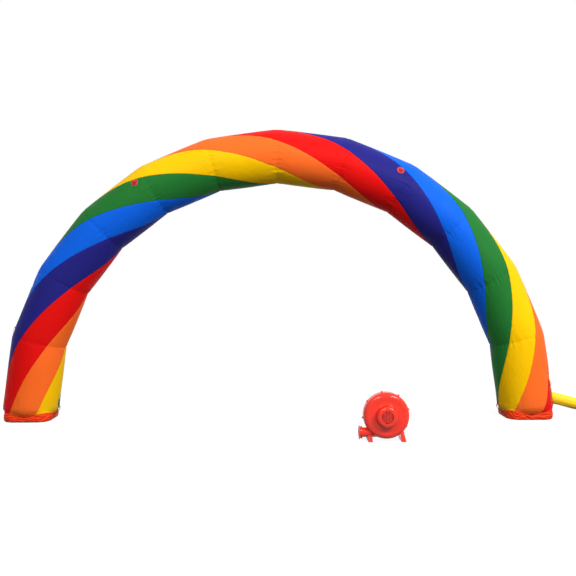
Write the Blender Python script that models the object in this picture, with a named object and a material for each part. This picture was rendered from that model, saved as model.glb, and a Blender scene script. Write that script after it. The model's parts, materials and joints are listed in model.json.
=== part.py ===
"""Inflatable rainbow arch, standing on two feet, with the blower that fills it.

The arch is half of a ring of straight fabric tubes, sewn end to end at mitred seams. Six coloured
stripes wind round it, and each turns by its own width along one tube. Each foot gathers the tube
into a square base band over a hard sole. An inflation sleeve leaves the right leg, and the blower
stands by itself in front of the arch.

Metres, +Z up, +X across the arch, +Y away from the front. The origin is the middle of the left
sole, on the floor.
"""

import math

import bmesh
import bpy
from mathutils import Matrix, Vector

# Clearances shared by all pieces
GAP = 0.0003
OVERRUN = 0.02
SMOOTH_ANGLE = math.radians(35)

# The arch as half a ring of tubes
ARCH_WIDTH = 6.096
TUBE_RADIUS = 0.2935
SKIN = 0.001
SPRING_HEIGHT = 0.156
TUBE_COUNT = 12
STRIPE_COUNT = 6
STRIPE_COLUMNS = 4

TUBE_ANGLE = math.pi / TUBE_COUNT
HALF_BEND = TUBE_ANGLE / 2
CENTRE_RADIUS = ARCH_WIDTH / 2 - TUBE_RADIUS / math.cos(HALF_BEND)
TUBE_LENGTH = 2 * CENTRE_RADIUS * math.sin(HALF_BEND)
STRIPE_ANGLE = 2 * math.pi / STRIPE_COUNT
FACET_ANGLE = STRIPE_ANGLE / STRIPE_COLUMNS
FACET_COUNT = STRIPE_COUNT * STRIPE_COLUMNS
OUTSIDE = math.pi / 2
INSIDE = -math.pi / 2
BACK = math.pi

# The feet: the tube drawn in to a square base band, over a sole
BASE_INSET = 0.0435
BASE_HALF = TUBE_RADIUS - BASE_INSET
BASE_CORNER = 0.12
BAND_WALL = 0.003
BAND_HEIGHT_AT_SIDE = 0.055
BAND_HEIGHT_AT_CORNER = 0.095
SOLE_THICKNESS = 0.004
FOOT_ROWS = 3
FOOT_TURN = math.radians(60)
LEFT, RIGHT = -1, 1

# Webbing anchor loops: inside and outside on the left foot, inside and behind on the right
LOOP_WIDTH = 0.025
LOOP_THICKNESS = 0.002
LOOP_TAIL = 0.045
LOOP_TAIL_ABOVE_SPRING = 0.012
LOOP_BELLY = 0.02
LOOP_BELLY_HEIGHT = 0.115
LOOP_LOWER_BELLY = 0.04
LOOP_LOWER_BELLY_HEIGHT = 0.08
LOOP_FOOT_GAP = 0.012

# Tether points: round patch, webbing tab and D-ring
TETHER_TUBES = {"left": 3, "right": 7}
TETHER_TURN = 2 * FACET_ANGLE
TETHER_FROM_SEAM = 0.12
PATCH_RADIUS = 0.042
PATCH_THICKNESS = 0.002
PATCH_STEP = math.radians(15)
PATCH_STEPS = 5
TAB_WIDTH = 0.022
TAB_TAIL = 0.02
TAB_THICKNESS = 0.0015
TAB_FOLD_FIRST = math.radians(-90)
TAB_FOLD_STEP = math.radians(30)
TAB_FOLD_STEPS = 8
RING_WIRE = 0.002
RING_BAR = 0.032
RING_DEPTH = 0.03
RING_SLACK = 0.0005
RING_ARC_STEPS = 8
RING_LEAST_MITRE = 0.5
WIRE_SIDES = 8

# Deflation zip on the outside of the left leg
ZIP_TUBE = 1
ZIP_TURN = 5 * FACET_ANGLE
ZIP_LENGTH = 0.5
ZIP_START = 0.066
TAPE_WIDTH = 0.016
TAPE_THICKNESS = 0.001
TEETH_WIDTH = 0.0025
TEETH_HEIGHT = 0.0027
SLIDER_WIDTH = 0.012
SLIDER_LENGTH = 0.018
SLIDER_HEIGHT = 0.0045
SLIDER_CHAMFER = 0.0015
SLIDER_FROM_END = 0.02
PULL_WIDTH = 0.012
PULL_LENGTH = 0.055
PULL_THICKNESS = 0.0025
PULL_ROUND_STEPS = 8

# Inflation sleeve, its collar and its tie strap on the outside of the right leg
SLEEVE_RADIUS = 0.066
SLEEVE_SLOPE = math.radians(14.7)
SLEEVE_HEIGHT = 0.205
SLEEVE_BEND_RADIUS = 1.0
SLEEVE_BEND_STEPS = 4
SLEEVE_FLAT_RUN = 0.25
SLEEVE_FLOOR_GAP = 0.001
SLEEVE_SIDES = 16
HEM_WIDTH = 0.03
HEM_THICKNESS = 0.003
COLLAR_TOP = 0.33
COLLAR_THICKNESS = 0.002
COLLAR_FACETS = 6
STRAP_TURN = 4 * FACET_ANGLE
STRAP_WIDTH = 0.034
STRAP_LENGTH = 0.14
STRAP_THICKNESS = 0.002
STRAP_FROM_COLLAR = 0.004

# The blower as a whole
BLOWER_FROM_CENTRE = 1.03
BLOWER_FORWARD = 1.2
AXIS_HEIGHT = 0.24

# Blower housing: two moulded shells round the impeller
HOUSING_RADIUS = 0.22
HOUSING_HALF_DEPTH = 0.08
HOUSING_WALL = 0.003
HOUSING_SIDES = 36
SHOULDER_RADIUS = 0.045
SHOULDER_STEPS = 3
DISH_RADIUS = 0.158
DISH_SLOPE = 0.01
DISH_DEPTH = 0.006
DOME_RADIUS = 0.108
DOME_TAPER = 0.008
DOME_ROUND = 0.018
DOME_STEPS = 2
DOME_HEIGHT = 0.072
VENT_RADIUS = 0.062
INLET_RADIUS = 0.1

# Outlet pipe and its flange
PIPE_RADIUS = 0.046
PIPE_DROP = 0.164
PIPE_END = 0.26
PIPE_SIDES = 20
FLANGE_RADIUS = 0.0645
FLANGE_LIP = 0.008
FLANGE_GROOVE_RADIUS = 0.056
FLANGE_GROOVE = 0.012
FLANGE_BEAD_RADIUS = 0.061
FLANGE_LENGTH = 0.03
FLANGE_SLOPE = 0.002

# Screws that hold the two shells together, each through a lug on the rim
LUG_COUNT = 6
LUG_FIRST = math.radians(-29)
LUG_STEP = math.radians(43)
LUG_RADIUS = 0.009
LUG_HALF_LENGTH = 0.012
LUG_STAND = 0.005
LUG_SIDES = 8
SCREW_RADIUS = 0.0022
SCREW_HEAD_RADIUS = 0.0048
SCREW_HEAD_HEIGHT = 0.003
SCREW_REACH = 0.009
SCREW_SIDES = 8

# Slotted grilles
GRILLE_THICKNESS = 0.003
GRILLE_ROWS = 11
GRILLE_COLUMNS = 4
GRILLE_BAR = 0.0045
GRILLE_RIB = 0.006
GRILLE_EDGE = 0.005
GRILLE_BOSS_RADIUS = 0.008
GUARD_OVERLAP = 0.012
GUARD_ROWS = 7
GUARD_BAR = 0.006

# Motor, its plate and what it turns
PLATE_THICKNESS = 0.004
PLATE_OVERLAP = 0.012
MOTOR_RADIUS = 0.052
MOTOR_LENGTH = 0.062
MOTOR_SIDES = 24
MOTOR_CHAMFER = 0.006
SHAFT_RADIUS = 0.006
SHAFT_SIDES = 12
SHAFT_BEHIND_MOTOR = 0.004
MOTOR_SCREW_COUNT = 4
MOTOR_SCREW_CIRCLE = 0.036
MOTOR_SCREW_DEPTH = 0.012
WHEEL_RADIUS = 0.15
WHEEL_PLATE = 0.003
WHEEL_FROM_PLATE = 0.012
WHEEL_WIDTH = 0.07
VANE_COUNT = 12
VANE_THICKNESS = 0.003
VANE_INNER_RADIUS = 0.085
VANE_LEAN = math.radians(35)
HUB_RADIUS = 0.018
HUB_LENGTH = 0.03
NUT_RADIUS = 0.011
NUT_HEIGHT = 0.008
NUT_SIDES = 6
SHAFT_PAST_NUT = 0.003

# Feet of the blower
FOOT_DEPTH = 0.2
FOOT_TOP_DEPTH = 0.11
LEFT_FOOT_NEAR = 0.137
LEFT_FOOT_FAR = 0.18
LEFT_FOOT_TOP_DROP = 0.185
RIGHT_FOOT_TOP_NEAR = 0.122
RIGHT_FOOT_TOP_FAR = 0.158
RIGHT_FOOT_TOP_DROP = 0.13
RIGHT_FOOT_BOTTOM_NEAR = 0.136
RIGHT_FOOT_BOTTOM_FAR = 0.182

# Switch box on the back of the housing
BOX_SIZE = 0.046
BOX_HEIGHT = 0.03
BOX_CIRCLE = 0.143
BOX_TURN = math.radians(50)
BOX_CORNER = 0.005
POCKET_LENGTH = 0.03
POCKET_WIDTH = 0.018
POCKET_DEPTH = 0.012
ROCKER_SLACK = 0.001
ROCKER_THICKNESS = 0.005
ROCKER_STAND = 0.001
ROCKER_TILT = math.radians(9)
ROCKER_ROUND_STEPS = 6
ROCKER_DIP = 0.002
GLAND_RADIUS = 0.008
GLAND_STUB_RADIUS = 0.005
GLAND_STUB = 0.004
GLAND_COLLAR = 0.006
GLAND_TAPER_RADIUS = 0.005
GLAND_LENGTH = 0.022
GLAND_HOLE_RADIUS = 0.0035
GLAND_SIDES = 16


def from_screen(red, green, blue):
    """A screen colour of 0 to 255 as the linear colour that a shader takes."""
    shares = (channel / 255 for channel in (red, green, blue))
    return [((share + 0.055) / 1.055) ** 2.4 if share > 0.04 else share / 12.92 for share in shares]


STRIPE_COLOURS = {
    "orange": from_screen(255, 112, 42),
    "red": from_screen(226, 22, 22),
    "indigo": from_screen(44, 40, 128),
    "blue": from_screen(25, 115, 235),
    "green": from_screen(40, 132, 55),
    "yellow": from_screen(245, 205, 15),
}
BAND_COLOUR = from_screen(240, 62, 22)
PATCH_COLOUR = from_screen(205, 22, 20)
SLEEVE_COLOUR = from_screen(252, 215, 25)
STRAP_COLOUR = from_screen(240, 220, 130)
BLACK = from_screen(22, 22, 24)
SHELL_COLOUR = from_screen(240, 52, 32)
DARK_PLASTIC = from_screen(40, 40, 42)
STEEL = from_screen(190, 192, 196)
MOTOR_COLOUR = from_screen(120, 124, 130)


def clear_scene():
    for obj in list(bpy.data.objects):
        bpy.data.objects.remove(obj, do_unlink=True)


def paint(obj, colour, roughness, metallic=0.0):
    material = bpy.data.materials.new(obj.name)
    material.use_nodes = True
    shader = material.node_tree.nodes["Principled BSDF"]
    shader.inputs["Base Color"].default_value = (*colour, 1)
    shader.inputs["Roughness"].default_value = roughness
    shader.inputs["Metallic"].default_value = metallic
    obj.data.materials.append(material)
    return obj


def new_object(name, bm, matrix=None, parent=None):
    """Closes the bmesh into an object, placed by its matrix under its parent."""
    bmesh.ops.recalc_face_normals(bm, faces=bm.faces)
    mesh = bpy.data.meshes.new(name)
    bm.to_mesh(mesh)
    bm.free()
    obj = bpy.data.objects.new(name, mesh)
    bpy.context.scene.collection.objects.link(obj)
    obj.parent = parent
    obj.matrix_basis = matrix or Matrix()
    return obj


def smooth(obj):
    obj.data.shade_smooth()
    obj.data.set_sharp_from_angle(angle=SMOOTH_ANGLE)
    return obj


def as_cutter(obj):
    obj.hide_render = True
    obj.display_type = "WIRE"
    return obj


def boolean(obj, other, operation):
    modifier = obj.modifiers.new(f"{operation} {other.name}".lower(), "BOOLEAN")
    modifier.operation = operation
    modifier.object = other


def quad(bm, a, b, c, d):
    """Four corners as two triangles, always parted from the first to the third."""
    bm.faces.new((a, b, c))
    bm.faces.new((a, c, d))


def sheet(name, outer, inner):
    """A thin closed piece between two grids of points, each a list of rows."""
    bm = bmesh.new()
    rows, columns = len(outer), len(outer[0])
    top = [[bm.verts.new(point) for point in row] for row in outer]
    under = [[bm.verts.new(point) for point in row] for row in inner]
    for grid in (top, under):
        for row in range(rows - 1):
            for column in range(columns - 1):
                near, far = grid[row], grid[row + 1]
                quad(bm, near[column], near[column + 1], far[column + 1], far[column])
    border = [(0, column) for column in range(columns)]
    border += [(row, columns - 1) for row in range(1, rows)]
    border += [(rows - 1, column) for column in range(columns - 2, -1, -1)]
    border += [(row, 0) for row in range(rows - 2, 0, -1)]
    for (row, column), (next_row, next_column) in zip(border, border[1:] + border[:1]):
        near, far = top[row][column], top[next_row][next_column]
        quad(bm, far, under[next_row][next_column], under[row][column], near)
    return new_object(name, bm)


def hoop(name, rows, matrix=None, parent=None):
    """A closed ring of material: each row is a loop of points, and the last joins the first."""
    bm = bmesh.new()
    loops = [[bm.verts.new(point) for point in row] for row in rows]
    for low, high in zip(loops, loops[1:] + loops[:1]):
        for index in range(len(low)):
            after = (index + 1) % len(low)
            quad(bm, low[index], low[after], high[after], high[index])
    return new_object(name, bm, matrix, parent)


def block(name, rows, matrix=None, parent=None):
    """A solid through loops of points, closed by a flat face at each end."""
    bm = bmesh.new()
    loops = [[bm.verts.new(point) for point in row] for row in rows]
    for low, high in zip(loops, loops[1:]):
        for index in range(len(low)):
            after = (index + 1) % len(low)
            quad(bm, low[index], low[after], high[after], high[index])
    bm.faces.new(loops[0])
    bm.faces.new(loops[-1][::-1])
    return new_object(name, bm, matrix, parent)


def extruded(name, outline, width, matrix=None, parent=None):
    """An outline in the local XY plane, given its width along Z, half to each side."""
    sides = (-width / 2, width / 2)
    return block(name, [[Vector((x, y, z)) for x, y in outline] for z in sides], matrix, parent)


def circle(radius, height, sides):
    steps = (2 * math.pi * index / sides for index in range(sides))
    return [Vector((radius * math.cos(a), radius * math.sin(a), height)) for a in steps]


def turned(name, profile, sides, matrix=None, parent=None):
    """A solid turned round Z, from a list of radius and height whose ends are flat faces."""
    rows = [circle(radius, height, sides) for radius, height in profile]
    return block(name, rows, matrix, parent)


def turned_ring(name, profile, sides, matrix=None, parent=None):
    """A ring turned round Z, from a closed profile of radius and height."""
    rows = [circle(radius, height, sides) for radius, height in profile]
    return hoop(name, rows, matrix, parent)


def cuboid(name, low, high, matrix=None, parent=None):
    outline = [(low[0], low[1]), (high[0], low[1]), (high[0], high[1]), (low[0], high[1])]
    rows = [[Vector((x, y, z)) for x, y in outline] for z in (low[2], high[2])]
    return block(name, rows, matrix, parent)


def frame_matrix(origin, x_axis, y_axis, z_axis):
    matrix = Matrix((x_axis, y_axis, z_axis)).transposed().to_4x4()
    matrix.translation = origin
    return matrix


# Geometry of the ring of tubes


def outward(angle):
    """Away from the ring's centre, at an angle counted up from the left foot."""
    return Vector((-math.cos(angle), 0, math.sin(angle)))


def onward(angle):
    """Along the ring, from the left foot towards the right one."""
    return Vector((math.sin(angle), 0, math.cos(angle)))


def tube_axis(tube):
    """Middle of a tube, its outward direction and its run."""
    angle = TUBE_ANGLE * (tube + 0.5)
    ring_centre = Vector((CENTRE_RADIUS, 0, SPRING_HEIGHT))
    middle = ring_centre + outward(angle) * (CENTRE_RADIUS * math.cos(HALF_BEND))
    return middle, outward(angle), onward(angle)


def facing(tube, turn):
    """Direction out of a tube, turned from the front towards the outside of the arch."""
    return Vector((0, -math.cos(turn), 0)) + tube_axis(tube)[1] * math.sin(turn)


def tube_point(tube, along, turn, lift=0.0):
    """Point on a tube's skin, at a distance along from its middle."""
    middle, _, run = tube_axis(tube)
    return middle + run * along + facing(tube, turn) * (TUBE_RADIUS + lift)


def half_length(turn, lift=0.0):
    """Half of a tube's length at this turn, longer on the outside of the bend."""
    return TUBE_LENGTH / 2 + (TUBE_RADIUS + lift) * math.sin(turn) * math.tan(HALF_BEND)


def seam_point(tube, share, turn, lift=0.0):
    """Point on a tube's skin, at a share of the way from its first seam to its second."""
    return tube_point(tube, (2 * share - 1) * half_length(turn, lift), turn, lift)


def rounded_square_radius(turn, half, corner):
    """Distance from the middle to the edge of a square with round corners."""
    across, up = abs(math.sin(turn)), abs(math.cos(turn))
    core = half - corner
    reach = half / max(across, up)
    if min(across, up) * reach <= core:
        return reach
    along = core * (across + up)
    return along + math.sqrt(along**2 - 2 * core**2 + corner**2)


def band_height(turn):
    """The base band stands higher at the corners, where the fabric is drawn up."""
    rise = BAND_HEIGHT_AT_CORNER - BAND_HEIGHT_AT_SIDE
    return BAND_HEIGHT_AT_SIDE + rise * math.sin(2 * turn) ** 2


def leg_direction(side, turn):
    return Vector((side * math.sin(turn), -math.cos(turn), 0))


def leg_centre(side):
    return Vector((0 if side == LEFT else 2 * CENTRE_RADIUS, 0, 0))


def foot_point(side, level, turn, lift=0.0):
    """Point on a gathered foot, from the first seam at level 0 to the base band at level 1."""
    lean = level * FOOT_TURN
    pull = (1 - math.cos(lean)) / (1 - math.cos(FOOT_TURN))
    fall = math.sin(lean) / math.sin(FOOT_TURN)
    tube, share = (0, 0) if side == LEFT else (TUBE_COUNT - 1, 1)
    seam = seam_point(tube, share, turn) - leg_centre(side)
    seam.z = 0
    square = leg_direction(side, turn) * rounded_square_radius(turn, BASE_HALF, BASE_CORNER)
    point = leg_centre(side) + seam.lerp(square, pull)
    point += leg_direction(side, turn) * (lift * math.cos(lean))
    point.z = SPRING_HEIGHT - fall * (SPRING_HEIGHT - band_height(turn)) - lift * math.sin(lean)
    return point


def leg_point(side, height, turn, lift=0.0):
    """Point on the lowest tube of a leg, at a height above the floor."""
    tube = 0 if side == LEFT else TUBE_COUNT - 1
    rise = (height - SPRING_HEIGHT) / math.cos(HALF_BEND)
    along = side * (half_length(turn, lift) - rise)
    return tube_point(tube, along, turn, lift)


# Coloured stripes of the envelope


def stripe_rows():
    """Each row across the stripes: the function that places it, and its place in tubes."""
    rows = []
    for step in range(FOOT_ROWS, 0, -1):
        rows.append((foot_point, LEFT, step / FOOT_ROWS, 0))
    for tube in range(TUBE_COUNT):
        for step in range(STRIPE_COLUMNS):
            share = step / STRIPE_COLUMNS
            rows.append((seam_point, tube, share, tube + share))
    rows.append((seam_point, TUBE_COUNT - 1, 1, TUBE_COUNT))
    for step in range(1, FOOT_ROWS + 1):
        rows.append((foot_point, RIGHT, step / FOOT_ROWS, TUBE_COUNT))
    return rows


def make_stripe(index, colour_name, bore):
    """One colour's fabric, sewn on from tube to tube, and cut open under the sleeve."""
    facet_width = 2 * TUBE_RADIUS * math.sin(FACET_ANGLE / 2)
    edge_share = GAP / 2 / facet_width
    turns = [(column / STRIPE_COLUMNS - 0.5) * STRIPE_ANGLE for column in range(STRIPE_COLUMNS + 1)]
    grids = {0: [], -SKIN: []}
    for lift, grid in grids.items():
        for place, first, second, travelled in stripe_rows():
            centre = STRIPE_ANGLE * (index - travelled)
            row = [place(first, second, centre + turn, lift) for turn in turns]
            row[0] = row[0].lerp(row[1], edge_share)
            row[-1] = row[-1].lerp(row[-2], edge_share)
            grid.append(row)
    stripe = sheet(f"{colour_name}_stripe", grids[0], grids[-SKIN])
    boolean(stripe, bore, "DIFFERENCE")
    return paint(stripe, STRIPE_COLOURS[colour_name], 0.55)


# Feet


def band_loop(side, half, corner, height):
    loop = []
    for index in range(FACET_COUNT):
        turn = index * FACET_ANGLE
        reach = rounded_square_radius(turn, half, corner)
        point = leg_centre(side) + leg_direction(side, turn) * reach
        point.z = height(turn)
        loop.append(point)
    return loop


def make_band(side, name):
    """Puckered band of fabric that the tube is gathered into."""

    def top(turn):
        return band_height(turn) - GAP

    def bottom(turn):
        return SOLE_THICKNESS + GAP

    outside = (BASE_HALF, BASE_CORNER)
    within = (BASE_HALF - BAND_WALL, BASE_CORNER - BAND_WALL)
    rows = [
        band_loop(side, *outside, bottom),
        band_loop(side, *outside, top),
        band_loop(side, *within, top),
        band_loop(side, *within, bottom),
    ]
    return paint(hoop(f"{name}_base_band", rows), BAND_COLOUR, 0.5)


def make_sole(side, name):
    """Hard-wearing sheet under the foot, which the arch stands on."""
    heights = (lambda turn: 0, lambda turn: SOLE_THICKNESS)
    rows = [band_loop(side, BASE_HALF, BASE_CORNER, height) for height in heights]
    return paint(block(f"{name}_sole", rows), BLACK, 0.6)


def make_anchor_loop(side, turn, name):
    """Webbing strap sewn to the tube above and the base band below, with room for a rope."""
    direction = leg_direction(side, turn)
    up = Vector((0, 0, 1))
    tail_low = SPRING_HEIGHT + LOOP_TAIL_ABOVE_SPRING
    band_face = BASE_HALF + GAP

    def reach(height):
        return (leg_point(side, height, turn, GAP) - leg_centre(side)).dot(direction)

    line = [
        (reach(tail_low + LOOP_TAIL), tail_low + LOOP_TAIL),
        (reach(tail_low), tail_low),
        (reach(SPRING_HEIGHT) + LOOP_BELLY, LOOP_BELLY_HEIGHT),
        (band_face + LOOP_LOWER_BELLY, LOOP_LOWER_BELLY_HEIGHT),
        (band_face, BAND_HEIGHT_AT_SIDE - LOOP_FOOT_GAP),
        (band_face, SOLE_THICKNESS + GAP),
    ]
    far = [(out + LOOP_THICKNESS, height) for out, height in line]
    matrix = frame_matrix(leg_centre(side), direction, up, direction.cross(up))
    loop = extruded(f"{name}_anchor_loop", line + far[::-1], LOOP_WIDTH, matrix)
    return paint(loop, BLACK, 0.7)


# Tether points


def facet_point(tube, ridge, across, along, lift):
    """Point on the skin, at distances from a ridge line and from the tube's middle."""
    facet_width = 2 * (TUBE_RADIUS + lift) * math.sin(FACET_ANGLE / 2)
    facets = across / facet_width
    whole = math.floor(facets)
    near = tube_point(tube, along, ridge + whole * FACET_ANGLE, lift)
    far = tube_point(tube, along, ridge + (whole + 1) * FACET_ANGLE, lift)
    return near.lerp(far, facets - whole)


def sewn_patch(name, tube, ridge, columns, thickness):
    """Flat fabric on a tube: each column is a distance across and the run of its two ends."""
    grids = []
    for lift in (GAP + thickness, GAP):
        low_row = [facet_point(tube, ridge, across, low, lift) for across, low, high in columns]
        high_row = [facet_point(tube, ridge, across, high, lift) for across, low, high in columns]
        grids.append([low_row, high_row])
    return sheet(name, *grids)


def tether_place(tube, front):
    ridge = TETHER_TURN if front else math.pi - TETHER_TURN
    along = half_length(TETHER_TURN) - TETHER_FROM_SEAM
    return ridge, along


def make_tether_patch(tube, front, name):
    ridge, along = tether_place(tube, front)
    columns = []
    for step in range(-PATCH_STEPS, PATCH_STEPS + 1):
        angle = step * PATCH_STEP
        reach = PATCH_RADIUS * math.cos(angle)
        columns.append((PATCH_RADIUS * math.sin(angle), along - reach, along + reach))
    patch = sewn_patch(f"{name}_tether_patch", tube, ridge, columns, PATCH_THICKNESS)
    return paint(patch, PATCH_COLOUR, 0.5)


def tether_frame(tube, front):
    """Frame of a tab: X up the skin, Y out of it, Z along the ring's straight bar."""
    ridge, along = tether_place(tube, front)
    out = facing(tube, ridge)
    up = Vector((0, 0, 1))
    up = (up - out * up.dot(out)).normalized()
    origin = tube_point(tube, along, ridge, GAP + PATCH_THICKNESS + GAP)
    return frame_matrix(origin, up, out, up.cross(out))


def make_tether_tab(tube, front, name):
    """Webbing tab, sewn down above and folded round the bar of the D-ring."""
    inner = RING_WIRE + RING_SLACK
    outer = inner + TAB_THICKNESS
    round_bar = [TAB_FOLD_FIRST - TAB_FOLD_STEP * step for step in range(TAB_FOLD_STEPS + 1)]
    return_steps = range(TAB_FOLD_STEPS + 3)
    back_again = [round_bar[-1] + TAB_FOLD_STEP * step for step in return_steps]
    outline = [(TAB_TAIL, 0)]
    outline += [(outer * math.cos(turn), outer + outer * math.sin(turn)) for turn in round_bar]
    outline += [(inner * math.cos(turn), outer + inner * math.sin(turn)) for turn in back_again]
    outline += [(outer, TAB_THICKNESS), (TAB_TAIL, TAB_THICKNESS)]
    tab = extruded(f"{name}_tether_tab", outline, TAB_WIDTH, tether_frame(tube, front))
    return paint(tab, PATCH_COLOUR, 0.65)


def ring_path():
    """The ring's wire in its own plane: a straight bar on Z, and an arc down to -X."""
    points = [Vector((0, 0, -RING_BAR / 2))]
    points += [Vector((0, 0, 0)), Vector((0, 0, RING_BAR / 2))]
    for step in range(1, RING_ARC_STEPS):
        turn = math.pi * step / RING_ARC_STEPS
        points.append(Vector((-RING_DEPTH * math.sin(turn), 0, RING_BAR / 2 * math.cos(turn))))
    return points


def make_tether_ring(tube, front, name):
    """Steel D-ring, hanging from the tab by its straight bar, which is its hinge."""
    path = ring_path()
    middle = sum(path, Vector()) / len(path)
    rows = []
    for index, point in enumerate(path):
        before, after = path[index - 1], path[(index + 1) % len(path)]
        run = ((point - before).normalized() + (after - point).normalized()).normalized()
        side = run.cross(Vector((0, 1, 0))).normalized()
        if side.dot(point - middle) < 0:
            side.negate()
        spread = 1 / max(run.dot((after - point).normalized()), RING_LEAST_MITRE)
        ring = []
        for step in range(WIRE_SIDES):
            turn = 2 * math.pi * (step + 0.5) / WIRE_SIDES
            offset = side * (math.cos(turn) * spread) + Vector((0, math.sin(turn), 0))
            ring.append(point + offset * RING_WIRE)
        rows.append(ring)
    matrix = tether_frame(tube, front)
    lift = RING_WIRE + RING_SLACK + TAB_THICKNESS
    matrix.translation = matrix @ Vector((0, lift, 0))
    ring = hoop(f"{name}_tether_ring", rows, matrix)
    return paint(smooth(ring), STEEL, 0.3, 1.0)


# Deflation zip


def zip_frame(turn, along, lift):
    """X across the zip towards the outside, Y out of the skin and Z up the leg."""
    middle = tube_point(ZIP_TUBE, along, ZIP_TURN, lift)
    out = facing(ZIP_TUBE, turn)
    run = tube_axis(ZIP_TUBE)[2]
    return frame_matrix(middle, out.cross(run), out, run)


def zip_start():
    return ZIP_START - half_length(ZIP_TURN)


def make_zip_tape(side, name):
    """Half of the zip: a woven tape with its row of teeth along the middle edge."""
    near = GAP / 2
    outline = [
        (side * near, 0),
        (side * near, TEETH_HEIGHT),
        (side * (near + TEETH_WIDTH), TEETH_HEIGHT),
        (side * (near + TEETH_WIDTH), TAPE_THICKNESS),
        (side * (near + TAPE_WIDTH), TAPE_THICKNESS),
        (side * (near + TAPE_WIDTH), 0),
    ]
    facet = ZIP_TURN + side * FACET_ANGLE / 2
    matrix = zip_frame(facet, zip_start() + ZIP_LENGTH / 2, GAP)
    return paint(extruded(f"zip_{name}_tape", outline, ZIP_LENGTH, matrix), BLACK, 0.6)


def slider_base():
    return GAP + TEETH_HEIGHT + GAP


def make_zip_slider():
    """Slider, chamfered along its two upper edges."""
    half_width = SLIDER_WIDTH / 2
    flat = half_width - SLIDER_CHAMFER
    shoulder = SLIDER_HEIGHT - SLIDER_CHAMFER
    outline = [
        (-half_width, 0),
        (half_width, 0),
        (half_width, shoulder),
        (flat, SLIDER_HEIGHT),
        (-flat, SLIDER_HEIGHT),
        (-half_width, shoulder),
    ]
    matrix = zip_frame(ZIP_TURN, zip_start() + SLIDER_FROM_END, slider_base())
    slider = extruded("zip_slider", outline, SLIDER_LENGTH, matrix)
    return paint(slider, STEEL, 0.35, 1.0)


def make_zip_pull():
    """Pull tab, hinged on the slider by its round end and hanging down over it."""
    round_radius = PULL_THICKNESS / 2
    height = slider_base() + SLIDER_HEIGHT + GAP + round_radius
    matrix = zip_frame(ZIP_TURN, zip_start() + SLIDER_FROM_END, height)
    outline = [(-round_radius, -PULL_LENGTH), (round_radius, -PULL_LENGTH)]
    for step in range(PULL_ROUND_STEPS + 1):
        turn = math.pi * step / PULL_ROUND_STEPS
        outline.append((round_radius * math.cos(turn), round_radius * math.sin(turn)))
    sides = (-PULL_WIDTH / 2, PULL_WIDTH / 2)
    rows = [[Vector((x, y, z)) for y, z in outline] for x in sides]
    return paint(block("zip_pull", rows, matrix), PATCH_COLOUR, 0.6)


# Inflation sleeve


def sleeve_root():
    return leg_point(RIGHT, SLEEVE_HEIGHT, OUTSIDE)


def sleeve_direction():
    return Vector((math.cos(SLEEVE_SLOPE), 0, -math.sin(SLEEVE_SLOPE)))


def sleeve_path():
    """Middle of the sleeve: down from the leg, then flat along the floor to its mouth."""
    run = sleeve_direction()
    floor = SLEEVE_RADIUS + HEM_THICKNESS + SLEEVE_FLOOR_GAP
    bend_fall = SLEEVE_BEND_RADIUS * (1 - math.cos(SLEEVE_SLOPE))
    straight = (SLEEVE_HEIGHT - floor - bend_fall) / math.sin(SLEEVE_SLOPE)
    points = [sleeve_root() - run * SLEEVE_RADIUS, sleeve_root() + run * straight]
    above = Vector((math.sin(SLEEVE_SLOPE), 0, math.cos(SLEEVE_SLOPE)))
    turn_centre = points[-1] + above * SLEEVE_BEND_RADIUS
    for step in range(1, SLEEVE_BEND_STEPS + 1):
        slope = SLEEVE_SLOPE * (1 - step / SLEEVE_BEND_STEPS)
        down = Vector((-math.sin(slope), 0, -math.cos(slope)))
        points.append(turn_centre + down * SLEEVE_BEND_RADIUS)
    points.append(points[-1] + Vector((SLEEVE_FLAT_RUN, 0, 0)))
    return points


def path_ring(before, point, after, radius):
    """Circle square to a path that stays in the plane of the arch."""
    run = ((point - before).normalized() + (after - point).normalized()).normalized()
    up = Vector((0, 1, 0)).cross(run)
    ring = []
    for step in range(SLEEVE_SIDES):
        turn = 2 * math.pi * step / SLEEVE_SIDES
        ring.append(point - up * (radius * math.cos(turn)) + Vector((0, radius * math.sin(turn), 0)))
    return ring


def sleeve_rings(points, radius):
    run_in, run_out = points[1] - points[0], points[-1] - points[-2]
    before = [points[0] - run_in] + points[:-1]
    after = points[1:] + [points[-1] + run_out]
    return [path_ring(a, b, c, radius) for a, b, c in zip(before, points, after)]


def leg_cutter(name, lift):
    """The right leg's lowest part as a solid, grown by the lift, which trims what meets it."""
    turns = [index * FACET_ANGLE for index in range(FACET_COUNT)]
    rows = [[seam_point(TUBE_COUNT - 1, share, turn, lift) for turn in turns] for share in (0, 1)]
    for step in range(1, FOOT_ROWS + 1):
        rows.append([foot_point(RIGHT, step / FOOT_ROWS, turn, lift) for turn in turns])
    return as_cutter(block(name, rows))


def sleeve_bore(name, radius, reach_in, reach_out):
    """Straight cutter down the middle of the sleeve, through the leg's fabric."""
    run = sleeve_direction()
    across = Vector((0, 1, 0))
    matrix = frame_matrix(sleeve_root(), across, run.cross(across), run)
    profile = [(radius, -reach_in), (radius, reach_out)]
    return as_cutter(turned(name, profile, SLEEVE_SIDES, matrix))


def make_sleeve():
    """Fabric duct that the blower's outlet is tied into."""
    points = sleeve_path()
    trimmed = leg_cutter("sleeve_trim", GAP + COLLAR_THICKNESS + GAP)
    outer = sleeve_rings(points, SLEEVE_RADIUS)
    inner = sleeve_rings(points, SLEEVE_RADIUS - SKIN)
    sleeve = hoop("inflation_sleeve", outer + inner[::-1])
    boolean(sleeve, trimmed, "DIFFERENCE")
    return paint(smooth(sleeve), SLEEVE_COLOUR, 0.5)


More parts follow.
